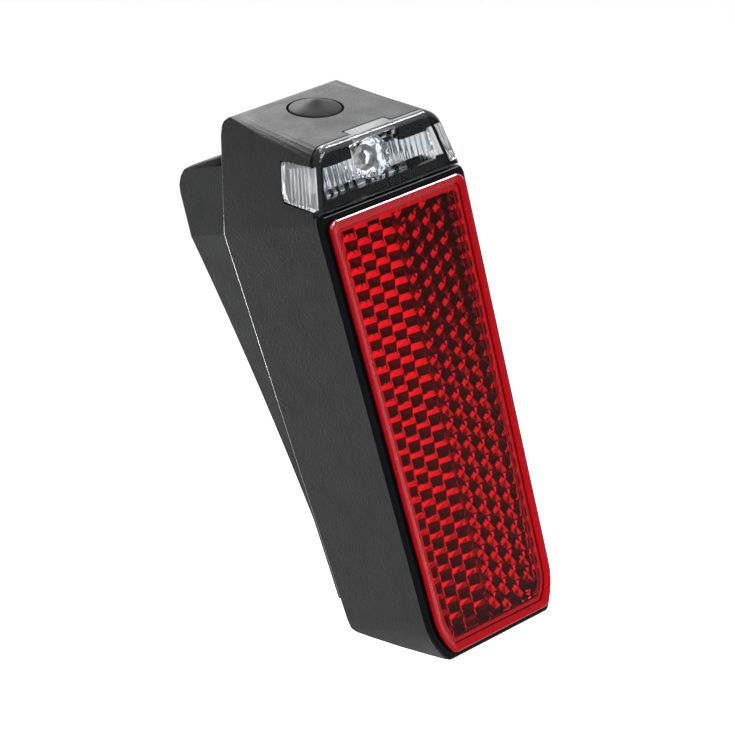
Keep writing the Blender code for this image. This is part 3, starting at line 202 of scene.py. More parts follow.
def choose(piece):
    """Deselect everything, then select one piece and make it the active one."""
    if bpy.context.object and bpy.context.object.mode != "OBJECT":
        bpy.ops.object.mode_set(mode="OBJECT")
    bpy.ops.object.select_all(action="DESELECT")
    piece.select_set(True)
    bpy.context.view_layer.objects.active = piece


def select_parts(piece, kind, test):
    """In edit mode, select only the vertices, edges or faces that pass a test."""
    bpy.ops.mesh.select_mode(type=kind)
    bpy.ops.mesh.select_all(action="DESELECT")
    mesh = bmesh.from_edit_mesh(piece.data)
    parts = {"VERT": mesh.verts, "EDGE": mesh.edges, "FACE": mesh.faces}[kind]
    count = 0
    for part in parts:
        if test(part):
            part.select_set(True)
            count += 1
    mesh.select_flush_mode()
    bmesh.update_edit_mesh(piece.data)
    return count


def apply_modifier(piece, kind, **settings):
    """Add a modifier with its settings and apply it to the mesh."""
    choose(piece)
    modifier = piece.modifiers.new(kind.lower(), kind)
    for key, value in settings.items():
        setattr(modifier, key, value)
    bpy.ops.object.modifier_apply(modifier=modifier.name)


def repeat(piece, count, step, **settings):
    """Repeat a piece, with each copy a constant step in millimetres from the one before."""
    apply_modifier(
        piece, "ARRAY", count=count, use_relative_offset=False, use_constant_offset=True,
        constant_offset_displace=[part * MM for part in step], **settings,
    )


print("bottom front edge at", [round(value / MM, 1) for value in at(0, 0, 0)])

# %% [markdown]
# A new piece starts as a primitive or as a copy of its CAD node, and Booleans cut and join
# it. A Boolean needs closed shapes whose faces point outwards, so both are seen to here, and
# the number of edges that don't have two faces is printed with each finished piece.

# %% Helpers for whole pieces
def face_outwards(piece):
    """Turn every face outwards, and count the edges that don't have two faces."""
    mesh = bmesh.new()
    mesh.from_mesh(piece.data)
    bmesh.ops.recalc_face_normals(mesh, faces=mesh.faces)
    if mesh.calc_volume(signed=True) < 0.0:
        bmesh.ops.reverse_faces(mesh, faces=mesh.faces)
    open_edges = sum(len(edge.link_faces) != 2 for edge in mesh.edges)
    mesh.to_mesh(piece.data)
    mesh.free()
    return open_edges


def combine(piece, tool, way):
    """Cut, join or intersect a piece with a tool, and delete the tool."""
    face_outwards(tool)
    apply_modifier(piece, "BOOLEAN", operation=way, object=tool, solver="EXACT")
    bpy.data.objects.remove(tool, do_unlink=True)


def copy_of_node(node, name):
    """A copy of a CAD node with its doubled points merged, ready to be modelled further."""
    choose(nodes[node])
    bpy.ops.object.duplicate()
    piece = bpy.context.object
    piece.name = name
    piece.data.name = name
    bpy.ops.object.mode_set(mode="EDIT")
    bpy.ops.mesh.select_all(action="SELECT")
    bpy.ops.mesh.remove_doubles(threshold=MERGE)
    bpy.ops.mesh.dissolve_limited(angle_limit=FLAT_ANGLE)
    bpy.ops.object.mode_set(mode="OBJECT")
    piece.data.materials.clear()
    return piece


def settle(piece, body, *stands_for, angle=None):
    """Finish a piece: outward faces, its place in its mesh, its body and its CAD nodes."""
    choose(piece)
    bpy.ops.object.transform_apply(location=True, rotation=True, scale=True)
    open_edges = face_outwards(piece)
    if angle is not None:
        bpy.ops.object.shade_smooth_by_angle(angle=math.radians(angle))
        apply_modifier(piece, "WEIGHTED_NORMAL", keep_sharp=True, weight=100)
    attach(piece, body)
    if stands_for:
        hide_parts(*stands_for)
    face_count = len(piece.data.polygons)
    print(piece.name, "on", body, "has", face_count, "faces,", open_edges, "open edges")


# %% [markdown]
# All plastics are shaded by one Principled shader with a fine noise on it. On the real
# light the mould's texture gives the matt case its grain, and even the glossy and clear
# pieces have faint flow marks. So each finish has a grain for its bump, and a broader cloud
# that moves its colour or roughness a little. A picture of such a grain would have to be
# unwrapped onto every piece, but noise on Object coordinates fits any shape as it is.

# %% The nodes that finishes are made of
NOISE_LOW, NOISE_HIGH = 0.3, 0.7
COLOUR_CLOUD, ROUGH_CLOUD = 9.0, 4.0
PLASTIC_IOR = 1.49


def shader_of(material):
    return material.node_tree.nodes["Principled BSDF"]


def link(material, start, end):
    material.node_tree.links.new(start, end)


def add_node(material, kind, **values):
    """A shader node with its properties and its named inputs set."""
    node = material.node_tree.nodes.new(kind)
    for key, value in values.items():
        if key in node.inputs:
            node.inputs[key].default_value = value
        else:
            setattr(node, key, value)
    return node


def scaled_place(material, scale):
    """Object coordinates, each multiplied by its scale."""
    place = add_node(material, "ShaderNodeTexCoord")
    mapping = add_node(material, "ShaderNodeMapping")
    mapping.inputs["Scale"].default_value = scale
    link(material, place.outputs["Object"], mapping.inputs["Vector"])
    return mapping.outputs["Vector"]


def along(material, axis):
    """How far a point lies along one axis of the object."""
    place = add_node(material, "ShaderNodeTexCoord")
    split = add_node(material, "ShaderNodeSeparateXYZ")
    link(material, place.outputs["Object"], split.inputs["Vector"])
    return split.outputs[axis]


def noise(material, size, detail=3.0, stretch=(1.0, 1.0, 1.0)):
    """Noise on Object coordinates whose cells are about one size across, in millimetres."""
    place = scaled_place(material, [1.0 / (size * MM * part) for part in stretch])
    texture = add_node(material, "ShaderNodeTexNoise", Scale=1.0, Detail=detail)
    link(material, place, texture.inputs["Vector"])
    return texture.outputs["Fac"]


def between(material, value, low, high, start=NOISE_LOW, end=NOISE_HIGH):
    """Move a value between start and end to a value between low and high."""
    ramp = add_node(material, "ShaderNodeMapRange")
    for key, number in (("From Min", start), ("From Max", end), ("To Min", low), ("To Max", high)):
        ramp.inputs[key].default_value = number
    link(material, value, ramp.inputs["Value"])
    return ramp.outputs["Result"]


def tinted(material, value, dark, light):
    """Mix two colours by a value."""
    ramp = add_node(material, "ShaderNodeValToRGB")
    stops = ((NOISE_LOW, dark), (NOISE_HIGH, light))
    for element, (position, colour) in zip(ramp.color_ramp.elements, stops):
        element.position = position
        element.color = (*colour, 1.0)
    link(material, value, ramp.inputs["Fac"])
    return ramp.outputs["Color"]


def give_bump(material, value, height):
    """Raise the surface by a value, up to a height in millimetres."""
    bump = add_node(material, "ShaderNodeBump", Strength=1.0)
    bump.inputs["Distance"].default_value = height * MM
    link(material, value, bump.inputs["Height"])
    link(material, bump.outputs["Normal"], shader_of(material).inputs["Normal"])


print("helpers ready")

# %% [markdown]
# Nearly everything here is either a solid-coloured plastic or a clear one, so two functions
# make all of those. Black plastic isn't pure black: the matt case reflects a little under
# one per cent of the light, and the glossy black less, which leaves it to its mirror.

# %% Plastics
def grained(material, rough, grain, height):
    """Give a finish two close roughnesses and a grain."""
    roughness = between(material, noise(material, ROUGH_CLOUD), *rough)
    link(material, roughness, shader_of(material).inputs["Roughness"])
    give_bump(material, noise(material, grain, 2.0), height)


def plastic(name, dark, light, rough, grain=0.4, height=0.02, gloss=0.5):
    """A moulded plastic: two close colours, two close roughnesses and a grain."""
    material = plain_material(name, light, rough[0])
    shader = shader_of(material)
    shader.inputs["Specular IOR Level"].default_value = gloss
    colour = tinted(material, noise(material, COLOUR_CLOUD), dark, light)
    link(material, colour, shader.inputs["Base Color"])
    grained(material, rough, grain, height)
    return material


def clear(name, colour, rough, tint=None, flow=6.0, height=0.004):
    """A clear plastic with faint flow marks; tint colours what its surface mirrors."""
    material = plain_material(name, colour, rough[0])
    shader = shader_of(material)
    shader.inputs["Transmission Weight"].default_value = 1.0
    shader.inputs["IOR"].default_value = PLASTIC_IOR
    if tint:
        shader.inputs["Specular Tint"].default_value = (*tint, 1.0)
    link(material, between(material, noise(material, flow), *rough), shader.inputs["Roughness"])
    give_bump(material, noise(material, flow, 1.0), height)
    return material


def dress(material, *names):
    """Give a finish to CAD nodes that keep their own shape."""
    for name in names:
        nodes[name].material_slots[0].material = material
    print(material.name, "on", ", ".join(names))


case_finish = plastic(
    "matt_case", (0.006, 0.0062, 0.007), (0.0085, 0.0087, 0.0095), (0.44, 0.54),
    grain=0.4, height=0.08, gloss=0.2,
)
base_finish = plastic(
    "matt_base", (0.009, 0.0095, 0.01), (0.012, 0.0125, 0.013), (0.5, 0.62),
    grain=0.45, height=0.08, gloss=0.25,
)
gloss_finish = plastic(
    "gloss_black", (0.001, 0.0015, 0.002), (0.002, 0.003, 0.004), (0.08, 0.14),
    grain=8.0, height=0.004, gloss=0.04,
)
rubber_finish = plastic(
    "black_rubber", (0.008, 0.008, 0.008), (0.016, 0.016, 0.016), (0.7, 0.85),
    grain=0.3, height=0.02, gloss=0.3,
)
# the case's rear rim: glossy, and a lighter grey than the case, a painted highlight
parting_highlight_finish = plastic(
    "parting_edge_highlight", (0.02, 0.02, 0.021), (0.03, 0.03, 0.031), (0.15, 0.25),
    grain=0.6, height=0.01, gloss=1.0,
)
silicone = plastic(
    "grey_silicone", (0.3, 0.31, 0.32), (0.4, 0.41, 0.42), (0.45, 0.6), grain=0.5, height=0.01
)
dress(gloss_finish, "front_frame", "reflector_backing")
dress(rubber_finish, "button_seal", "mudguard_pad")
dress(silicone, "base_seal")

# %% [markdown]
# The reflector is one red moulding. Its front has a raised, rounded rim round a slightly
# sunken panel, and its back is a net of cube corners, which throw light back where it came
# from. The same red plastic is finished differently from place to place: the panel is
# polished and the rim is softer. The rim's top carries a painted highlight, a copy of the
# rim's red with a coat and an untinted mirror, so that a bright line shows there. The flat
# back is welded on, and its opaque bright red also paints the glow of light scattered in the
# border. One material with masks could do this, but one material for each kind of face is
# simpler, because the faces can be picked by where they are. The panel and the rim refract
# less than the prisms do, or the white studio would lay a pale haze over them.

# %% The red finishes
RED_BODY, RED_RIM, RED_PAINTED_HIGHLIGHT, RED_WELD_AND_GLOW, RED_PANE = range(5)
red_body = clear("clear_red", (0.62, 0.003, 0.006), (0.0, 0.02), tint=(0.45, 0.0, 0.0))
red_rim = clear("clear_red_rim", (0.36, 0.004, 0.008), (0.2, 0.3), tint=(0.5, 0.02, 0.03))
# the rim's top: a painted highlight, a coated copy of the rim's red with an untinted mirror
red_painted_highlight = clear("clear_red_painted_highlight", (0.34, 0.004, 0.008), (0.02, 0.06))
# the flat back: the weld, in a bright opaque red that paints the glow of light scattered in the
# border
red_weld_and_glow = plastic(
    "red_weld_and_glow", (0.5, 0.002, 0.006), (0.68, 0.004, 0.01), (0.5, 0.7), grain=0.5, height=0.02
)
red_pane = clear("clear_red_pane", (0.62, 0.003, 0.006), (0.0, 0.02), tint=(0.45, 0.0, 0.0))
for finish in (red_rim, red_painted_highlight):
    shader_of(finish).inputs["Transmission Weight"].default_value = 0.35
shader_of(red_rim).inputs["IOR"].default_value = 1.25
shader_of(red_pane).inputs["IOR"].default_value = 1.3
shader_of(red_painted_highlight).inputs["Coat Weight"].default_value = 1.0
shader_of(red_painted_highlight).inputs["Coat IOR"].default_value = 1.8
print("five red finishes ready")

# %% [markdown]
# The plate could start as a new primitive, but a copy of the CAD node already has the right
# outline. It is cut flat behind the panel, and then insets make the rim, the groove and the
# panel's border, each set lower than the one before. Points that crowd at the corners after
# an inset are merged, which keeps the panel one flat face without a fold.

# %% The reflector's plate
PANEL_BACK = 1.1
RIM_WIDTH, RIM_RISE, RIM_ROUND = 0.95, 0.45, 0.22
GROOVE_WIDTH, GROOVE_DEPTH = 0.25, 0.12
BORDER_WIDTH = 0.6
CORNER_MERGE = 0.7
PLATE_FLAT_ANGLE, RIM_ANGLE = math.radians(0.5), math.radians(20)
SHINE_ABOVE_MIDDLE = 36.0
reflector = copy_of_node("reflector", "red_reflector")
for finish in (red_body, red_rim, red_painted_highlight, red_weld_and_glow, red_pane):
    reflector.data.materials.append(finish)
front_y = min(vertex.co.y for vertex in reflector.data.vertices)
bpy.ops.object.mode_set(mode="EDIT")
bpy.ops.mesh.select_all(action="SELECT")
bpy.ops.mesh.bisect(
    plane_co=at(0, PANEL_BACK, 0), plane_no=(0, 1, 0), use_fill=True, clear_outer=True,
    threshold=MERGE,
)
bpy.ops.mesh.select_all(action="SELECT")
bpy.ops.mesh.dissolve_limited(angle_limit=PLATE_FLAT_ANGLE)


def on_front(part):
    """Whether an edge or a face lies wholly in the plate's front plane."""
    return all(near(vertex.co.y, front_y) for vertex in part.verts)


select_parts(reflector, "FACE", on_front)
bpy.ops.mesh.inset(thickness=RIM_WIDTH * MM)
bpy.ops.mesh.remove_doubles(threshold=CORNER_MERGE * MM)
bpy.ops.transform.translate(value=(0, RIM_RISE * MM, 0))
bpy.ops.mesh.inset(thickness=GROOVE_WIDTH * MM)
bpy.ops.transform.translate(value=(0, GROOVE_DEPTH * MM, 0))
bpy.ops.mesh.inset(thickness=BORDER_WIDTH * MM)
bpy.ops.mesh.remove_doubles(threshold=CORNER_MERGE * MM)
bpy.ops.object.mode_set(mode="OBJECT")
rim_foot = front_y + RIM_RISE * MM
panel_y = front_y + (RIM_RISE + GROOVE_DEPTH) * MM
for face in reflector.data.polygons:
    in_groove = rim_foot < face.center.y < panel_y - NEAR / 2
    if face.center.y < panel_y + NEAR and not face.select and not in_groove:
        face.material_index = RED_RIM
panel_middle = max(face.center.z for face in reflector.data.polygons if face.select)
shine_from = panel_middle + SHINE_ABOVE_MIDDLE * MM


def on_rim(edge):
    """An outer or inner edge of the rim's flat front."""
    faces = edge.link_faces
    return (
        on_front(edge)
        and len(faces) == 2
        and faces[0].normal.angle(faces[1].normal) > RIM_ANGLE
    )


bpy.ops.object.mode_set(mode="EDIT")
print("rim edges:", select_parts(reflector, "EDGE", on_rim))
bpy.ops.mesh.bevel(offset=RIM_ROUND * MM, segments=3, affect="EDGES", clamp_overlap=True)
bpy.ops.object.mode_set(mode="OBJECT")
print("plate has", len(reflector.data.polygons), "faces")

# %% [markdown]
# The field of prisms ends in a plain border all round. The net could be trimmed cell by
# cell, but it is easier to make too much of it and keep what lies inside a block. The block
# widens upwards like the panel and has its rounded corners.

# %% The block that bounds the prism field
FIELD_LOW, FIELD_HIGH = 3.4, 76.5
FIELD_LOW_HALF, FIELD_HIGH_HALF = 12.1, 14.1
FIELD_LOW_ROUND, FIELD_HIGH_ROUND = 3.2, 1.0
FIELD_FRONT, FIELD_BACK = PANEL_BACK - 0.4, 3.5
bpy.ops.object.select_all(action="DESELECT")
bpy.ops.mesh.primitive_cube_add(
    size=MM, location=at(0, (FIELD_FRONT + FIELD_BACK) / 2, (FIELD_LOW + FIELD_HIGH) / 2)
)
field_block = bpy.context.object
field_block.name = "field_block"
field_block.scale = (2 * FIELD_LOW_HALF, FIELD_BACK - FIELD_FRONT, FIELD_HIGH - FIELD_LOW)
bpy.ops.object.transform_apply(location=True, rotation=True, scale=True)
middle_z = at(0, 0, (FIELD_LOW + FIELD_HIGH) / 2).z


def upright_corner(edge, above):
    """An edge that runs from front to back, above or below the field's middle."""
    first, second = (vertex.co for vertex in edge.verts)
    return abs(first.y - second.y) > MM and (first.z > middle_z) == above


bpy.ops.object.mode_set(mode="EDIT")
select_parts(field_block, "VERT", lambda vertex: vertex.co.z > middle_z)
bpy.ops.transform.resize(
    value=(FIELD_HIGH_HALF / FIELD_LOW_HALF, 1, 1), center_override=(0, 0, 0)
)
select_parts(field_block, "EDGE", lambda edge: upright_corner(edge, True))
bpy.ops.mesh.bevel(offset=FIELD_HIGH_ROUND * MM, segments=3)
select_parts(field_block, "EDGE", lambda edge: upright_corner(edge, False))
bpy.ops.mesh.bevel(offset=FIELD_LOW_ROUND * MM, segments=4)
bpy.ops.object.mode_set(mode="OBJECT")
print("field is", [round(side / MM, 1) for side in field_block.dimensions], "mm")

# %% [markdown]
# A cube corner is three mirrors that meet like the inside of a box's corner. Seen from the
# front it is a hexagon of three diamonds. It could be a cube on its tip, but a hexagon with
# a middle point repeats without gaps: the middle is pushed back, and every second corner
# half as far. The middle also leans sideways, because the real plate's two halves look to
# different sides.

# %% One prism cell
CELL_REACH = 2.0
CELL_RISE = 1.45
CELL_DEPTH = 2.1
CELL_LEAN = 0.6
NET_START = PANEL_BACK + 0.15
bpy.ops.object.select_all(action="DESELECT")
bpy.ops.mesh.primitive_circle_add(
    vertices=6, radius=CELL_REACH * MM, fill_type="TRIFAN",
    rotation=(math.pi / 2, math.pi / 2, 0),
)
net = bpy.context.object
net.name = "prism_net"
bpy.ops.object.transform_apply(location=True, rotation=True, scale=True)
hexagon_rise = CELL_REACH * math.sin(math.pi / 3)
bpy.ops.object.mode_set(mode="EDIT")
bpy.ops.mesh.select_all(action="SELECT")
bpy.ops.transform.resize(value=(1, 1, CELL_RISE / hexagon_rise), center_override=(0, 0, 0))


def is_middle(vertex):
    return abs(vertex.co.x) + abs(vertex.co.z) < 0.1 * MM


def goes_half_back(vertex):
    """One of the three corners that take turns with those that stay in front."""
    across, up = vertex.co.x / MM, vertex.co.z / MM
    stays = across < -0.75 * CELL_REACH or (abs(up) > CELL_RISE / 2 and across > 0)
    return vertex.co.y < MM and not is_middle(vertex) and not stays


select_parts(net, "VERT", is_middle)
bpy.ops.transform.translate(value=(-CELL_LEAN * MM, CELL_DEPTH * MM, 0))
select_parts(net, "VERT", goes_half_back)
bpy.ops.transform.translate(value=(0, CELL_DEPTH / 2 * MM, 0))
bpy.ops.mesh.select_all(action="SELECT")
bpy.ops.transform.translate(value=at(CELL_REACH / 2, NET_START, -3 * CELL_RISE))
bpy.ops.object.mode_set(mode="OBJECT")
print("one cell of the net has", len(net.data.polygons), "faces")

# %% [markdown]
# Arrays repeat the cell upwards, then into a second column half a step higher, and then
# across, and a mirror makes the other half. The pins of a mould never meet in a perfect
# edge, so each ridge gets a narrow flat. At last the net is drawn out towards the front,
# which makes a closed solid of it, for the Booleans that trim it and join it to the plate.

# %% The net of both halves, joined to the plate
ROWS, COLUMN_PAIRS = 30, 3
RIDGE_FLAT = 0.1
NET_FOOT = PANEL_BACK - 0.2
NET_MERGE = 0.01
joined = {"use_merge_vertices": True, "merge_threshold": NET_MERGE * MM}
repeat(net, ROWS, (0, 0, 2 * CELL_RISE), **joined)
repeat(net, 2, (-1.5 * CELL_REACH, 0, CELL_RISE), **joined)
repeat(net, COLUMN_PAIRS, (-3 * CELL_REACH, 0, 0), **joined)
bpy.ops.object.mode_set(mode="EDIT")
bpy.ops.mesh.select_all(action="SELECT")
bpy.ops.mesh.bisect(plane_co=(0, 0, 0), plane_no=(1, 0, 0), clear_outer=True, threshold=MERGE)
bpy.ops.object.mode_set(mode="OBJECT")
apply_modifier(net, "MIRROR", use_axis=(True, False, False), merge_threshold=NET_MERGE * MM)


def is_ridge(edge):
    return len(edge.link_faces) == 2 and edge.calc_face_angle() > FOLD_ANGLE


bpy.ops.object.mode_set(mode="EDIT")
print("prism edges:", select_parts(net, "EDGE", is_ridge))
bpy.ops.mesh.bevel(offset=RIDGE_FLAT * MM, segments=1)
bpy.ops.mesh.select_all(action="SELECT")
bpy.ops.mesh.extrude_region_move(TRANSFORM_OT_translate={"value": (0, -MM, 0)})
bpy.ops.transform.resize(value=(1, 0, 1), center_override=at(0, NET_FOOT, 0))
bpy.ops.object.mode_set(mode="OBJECT")
print("net before the cut has", len(net.data.polygons), "faces")
face_outwards(net)
combine(net, field_block, "INTERSECT")
combine(reflector, net, "UNION")
bpy.ops.object.select_all(action="DESELECT")

# %% [markdown]
# Faces keep their finish when meshes are joined, but some faces exist only now. So the
# painted highlight on the rim's top, the welded back with its painted glow and the polished
# panel are picked by their place.

# %% Where each red finish sits
panel_back = at(0, PANEL_BACK, 0).y
counts = [0] * 5
for face in reflector.data.polygons:
    # rim faces that look up near the top take the painted highlight
    looks_up = face.normal.z > 0.2 and face.center.z > shine_from
    if face.material_index == RED_RIM and looks_up:
        face.material_index = RED_PAINTED_HIGHLIGHT
    # the flat back takes the weld's bright red with its painted glow
    elif near(face.center.y, panel_back) and face.normal.y > 0.99:
        face.material_index = RED_WELD_AND_GLOW
    elif near(face.center.y, panel_y) and face.material_index == RED_BODY:
        face.material_index = RED_PANE
    counts[face.material_index] += 1
print("faces of each red finish:", counts)
settle(reflector, "light", "reflector")

# %% [markdown]
# The case and its base are matt mouldings with softly rounded edges. A copy of each CAD
# solid, with smooth shading over its shallow edges, shows them as the mould leaves them.
# The case's rear rim is a polished, rounded edge, which catches the light as a thin pale
# line between the case and the base. A bevel with a glossy finish of its own gives that
# line, and that finish is also a lighter grey than the case, a painted highlight along it.

# %% The case and the base
PARTING_RADIUS = 0.3
RIM_BEHIND = 15.0
CASE_MIDDLE = 50.0
case_piece = copy_of_node("housing", "moulded_case")
case_piece.data.materials.append(case_finish)
case_piece.data.materials.append(parting_highlight_finish)


def rear_rim(edge):
    """An edge between the case's flat rear rim and its outer wall."""
    nearest = min(vertex.co.y for vertex in edge.verts)
    if len(edge.link_faces) != 2 or nearest < at(0, RIM_BEHIND, 0).y:
        return False
    rim, wall = sorted(edge.link_faces, key=lambda face: -face.normal.y)
    middle = (edge.verts[0].co + edge.verts[1].co) / 2 - at(0, 0, CASE_MIDDLE)
    outwards = wall.normal.x * middle.x + wall.normal.z * middle.z > 0
    return rim.normal.y > FACING and abs(wall.normal.y) < 0.5 and outwards


bpy.ops.object.mode_set(mode="EDIT")
print("rear rim edges:", select_parts(case_piece, "EDGE", rear_rim))
bpy.ops.mesh.bevel(offset=PARTING_RADIUS * MM, segments=3, material=1)
bpy.ops.object.mode_set(mode="OBJECT")
settle(case_piece, "light", "housing", angle=SMOOTH_DEGREES)
base_piece = copy_of_node("rear_base", "moulded_base")
base_piece.data.materials.append(base_finish)
settle(base_piece, "light", "rear_base", angle=SMOOTH_DEGREES)

# %% [markdown]
# The window is one clear moulding, and behind it sit the lamp's clear collimator with its
# fluted wings, the light sensor and a glossy black box. Real refraction is used, so what is
# inside bends at the window's edges as it does on the real light. The window's brow is
# rounded off where the case's long top edges run into it. Bevels on the thin moulding itself
# would run into its inner faces, so a solid block is rounded instead, and the window keeps
# what lies inside the block.

# %% The block that rounds the window's brow
BROW_RADIUS = 1.0
BROW_DEPTH = 12.0
TOP_EDGE = 2.8
TOP_RISE = math.tan(math.radians(19.1))
SIDE_LEAN = 0.2397
FOLD_HALF, FOLD_UP, BROW_UP = 17.5, 78.4, 90.5
BROW_LOW = FOLD_UP + 0.6
EASE = 0.01


def brow_corner(side, deep, high):
    """A corner of the block: on the left or right, at the front or back, low or high."""
    y = BROW_DEPTH if deep else -EASE
    z = BROW_UP + y * TOP_RISE + EASE if high else BROW_LOW
    half = FOLD_HALF - SIDE_LEAN * (z - FOLD_UP) + EASE
    return at(side * half, y, z)


bpy.ops.object.select_all(action="DESELECT")
bpy.ops.mesh.primitive_cube_add(size=2.0)
brow = bpy.context.object
brow.name = "brow_block"
for vertex in brow.data.vertices:
    vertex.co = brow_corner(math.copysign(1, vertex.co.x), vertex.co.y > 0, vertex.co.z > 0)
brow_front = at(0, -EASE, 0).y


def long_top_edge(edge):
    """One of the two edges that run back along the top."""
    first, second = (vertex.co for vertex in edge.verts)
    return abs(first.y - second.y) > MM and min(first.z, second.z) > at(0, 0, BROW_UP - 1).z


def front_rim(edge):
    """An edge round the block's front, apart from the lowest one."""
    low = at(0, 0, FOLD_UP + 1).z
    faces = edge.link_faces
    return (
        all(abs(vertex.co.y - brow_front) < 0.05 * MM for vertex in edge.verts)
        and max(vertex.co.z for vertex in edge.verts) > low
        and faces[0].normal.angle(faces[1].normal) > FOLD_ANGLE
    )


bpy.ops.object.mode_set(mode="EDIT")
print("long edges:", select_parts(brow, "EDGE", long_top_edge))
bpy.ops.mesh.bevel(offset=TOP_EDGE * MM, segments=5, clamp_overlap=False)
print("rim edges:", select_parts(brow, "EDGE", front_rim))
bpy.ops.mesh.bevel(offset=BROW_RADIUS * MM, segments=4, clamp_overlap=False)
bpy.ops.object.mode_set(mode="OBJECT")

# %% [markdown]
# The window's lower front edge, where it meets the glossy frame, is broken by a small
# rounding too. It is a single edge, so a bevel on the window itself is enough.

# %% The window
LOWER_ROUND = 0.3
window = copy_of_node("clear_lens", "clear_window")
combine(window, brow, "INTERSECT")
window_low = min(vertex.co.z for vertex in window.data.vertices)


def lower_front_edge(edge):
    return all(
        near(vertex.co.z, window_low) and vertex.co.y < at(0, 0.1, 0).y
        for vertex in edge.verts
    )


bpy.ops.object.mode_set(mode="EDIT")
print("lower edges:", select_parts(window, "EDGE", lower_front_edge))
bpy.ops.mesh.bevel(offset=LOWER_ROUND * MM, segments=2)
bpy.ops.object.mode_set(mode="OBJECT")

# %% [markdown]
# Upright flutes inside the side walls spread the lamp's light sideways. They are half sunk
# rods: one rod is modelled, an array makes a row of it, and a mirror gives the other side.
# The rods stand a little apart, because a Boolean can't join rods that overlap each other.

# %% The flutes inside the window's side walls
FLUTE_RADIUS, FLUTE_STEP, FLUTE_COUNT = 0.42, 0.9, 6
FLUTE_LENGTH, FLUTE_MIDDLE = 6.4, 84.8
FLUTE_SIDE, FLUTE_FIRST = 14.65, 3.4
bpy.ops.object.select_all(action="DESELECT")
bpy.ops.mesh.primitive_cylinder_add(
    vertices=8, radius=FLUTE_RADIUS * MM, depth=FLUTE_LENGTH * MM,
    location=at(FLUTE_SIDE, FLUTE_FIRST, FLUTE_MIDDLE), rotation=(0, -math.atan(SIDE_LEAN), 0),
)
flute = bpy.context.object
flute.name = "side_flutes"
bpy.ops.object.transform_apply(location=True, rotation=True, scale=True)
repeat(flute, FLUTE_COUNT, (0, FLUTE_STEP, 0))
apply_modifier(flute, "MIRROR", use_axis=(True, False, False))
face_outwards(window)
combine(window, flute, "UNION")
print("window with flutes has", len(window.data.polygons), "faces")

# %% [markdown]
# The window is clear and polished in front, and smoky on the tab that lies on the top. Its
# flat front mirrors almost nothing, which keeps it dark, and its rounded brow is a copy with a
# strong, nearly white mirror, a painted highlight along the brow. Its corners carry a black
# print on their inner faces, which hides the lamp box's posts, and the fluted side walls are
# a little milky. The mesh is first cut along the print's borders, so that each face can take
# one finish.

# %% The window's finishes
CLEAR_FLAT, CLEAR_BROW_HIGHLIGHT, CLEAR_TAB, BLACK_PRINT, CLEAR_FLUTES = range(5)
PRINT_HALF, PRINT_DEPTH = 15.3, 1.6
BROW_FACES_DEPTH, TAB_HALF = 1.1, 4.0
window_flat = clear("clear_window", (0.97, 0.985, 1.0), (0.0, 0.02), tint=(0.02, 0.02, 0.025))
# the rounded brow: a painted highlight, the clear plastic with a strong, nearly white mirror
window_brow_highlight = clear("clear_brow_highlight", (0.97, 0.985, 1.0), (0.02, 0.05), tint=(0.55, 0.56, 0.58))
window_tab = clear("clear_tab", (0.14, 0.145, 0.15), (0.35, 0.45), tint=(0.1, 0.1, 0.1))
mask_print = plastic(
    "black_print", (0.001, 0.001, 0.001), (0.002, 0.002, 0.002), (0.4, 0.5),
    grain=0.5, height=0.004, gloss=0.03,
)
flutes = clear("clear_flutes", (0.85, 0.86, 0.88), (0.05, 0.12), flow=1.2, height=0.03)
shader_of(window_flat).inputs["IOR"].default_value = 1.36
shader_of(window_tab).inputs["Transmission Weight"].default_value = 0.6
shader_of(flutes).inputs["Transmission Weight"].default_value = 0.68
for finish in (window_flat, window_brow_highlight, window_tab, mask_print, flutes):
    window.data.materials.append(finish)
PRINT_BORDERS = (
    (at(-PRINT_HALF, 0, FOLD_UP), (-1, 0, SIDE_LEAN)),
    (at(PRINT_HALF, 0, FOLD_UP), (1, 0, SIDE_LEAN)),
    (at(0, PRINT_DEPTH, 0), (0, 1, 0)),
)
bpy.ops.object.mode_set(mode="EDIT")
for place, normal in PRINT_BORDERS:
    bpy.ops.mesh.select_all(action="SELECT")
    bpy.ops.mesh.bisect(plane_co=place, plane_no=normal, threshold=MERGE)
bpy.ops.object.mode_set(mode="OBJECT")
print("window cut for its finishes has", len(window.data.polygons), "faces")

# %% Where each finish of the window sits
def behind_post(face):
    """An inner face of the window that hides the lamp box's corner post."""
    x, y, z = (face.center - at(0, 0, FOLD_UP)) / MM
    beyond = abs(x) + SIDE_LEAN * z > PRINT_HALF
    inner_front = face.normal.y > FACING
    inner_side = face.normal.x * x < 0 and abs(face.normal.x) > 0.5
    return beyond and y < PRINT_DEPTH and (inner_front or inner_side)


def window_finish(face):
    """The number of the finish that a face of the window takes."""
    if behind_post(face):
        return BLACK_PRINT
    inner_side = face.normal.x * face.center.x < 0 and abs(face.normal.x) > 0.2
    if inner_side and face.center.y > at(0, PRINT_DEPTH, 0).y:
        return CLEAR_FLUTES
    behind_brow = face.center.y - at(0, BROW_FACES_DEPTH, 0).y
    # faces of the rounded brow take the painted highlight
    if 0.12 < abs(face.normal.y) < 0.985 and behind_brow < 0:
        return CLEAR_BROW_HIGHLIGHT
    on_tab = abs(face.center.x) < TAB_HALF * MM
    if face.normal.z > FACING and behind_brow > 0 and on_tab:
        return CLEAR_TAB
    return CLEAR_FLAT


counts = [0] * 5
for face in window.data.polygons:
    face.material_index = window_finish(face)
    counts[face.material_index] += 1
print("faces of each finish of the window:", counts)
settle(window, "light", "clear_lens", angle=30)

# %% [markdown]
# The optic is a clear collimator over the LED with a fluted wing on each side. Its shape is
# the CAD node's, but flat shading would show the solid's facets, so a copy is shaded
# smoothly. Its flow marks are strong, and break up what is seen through it.

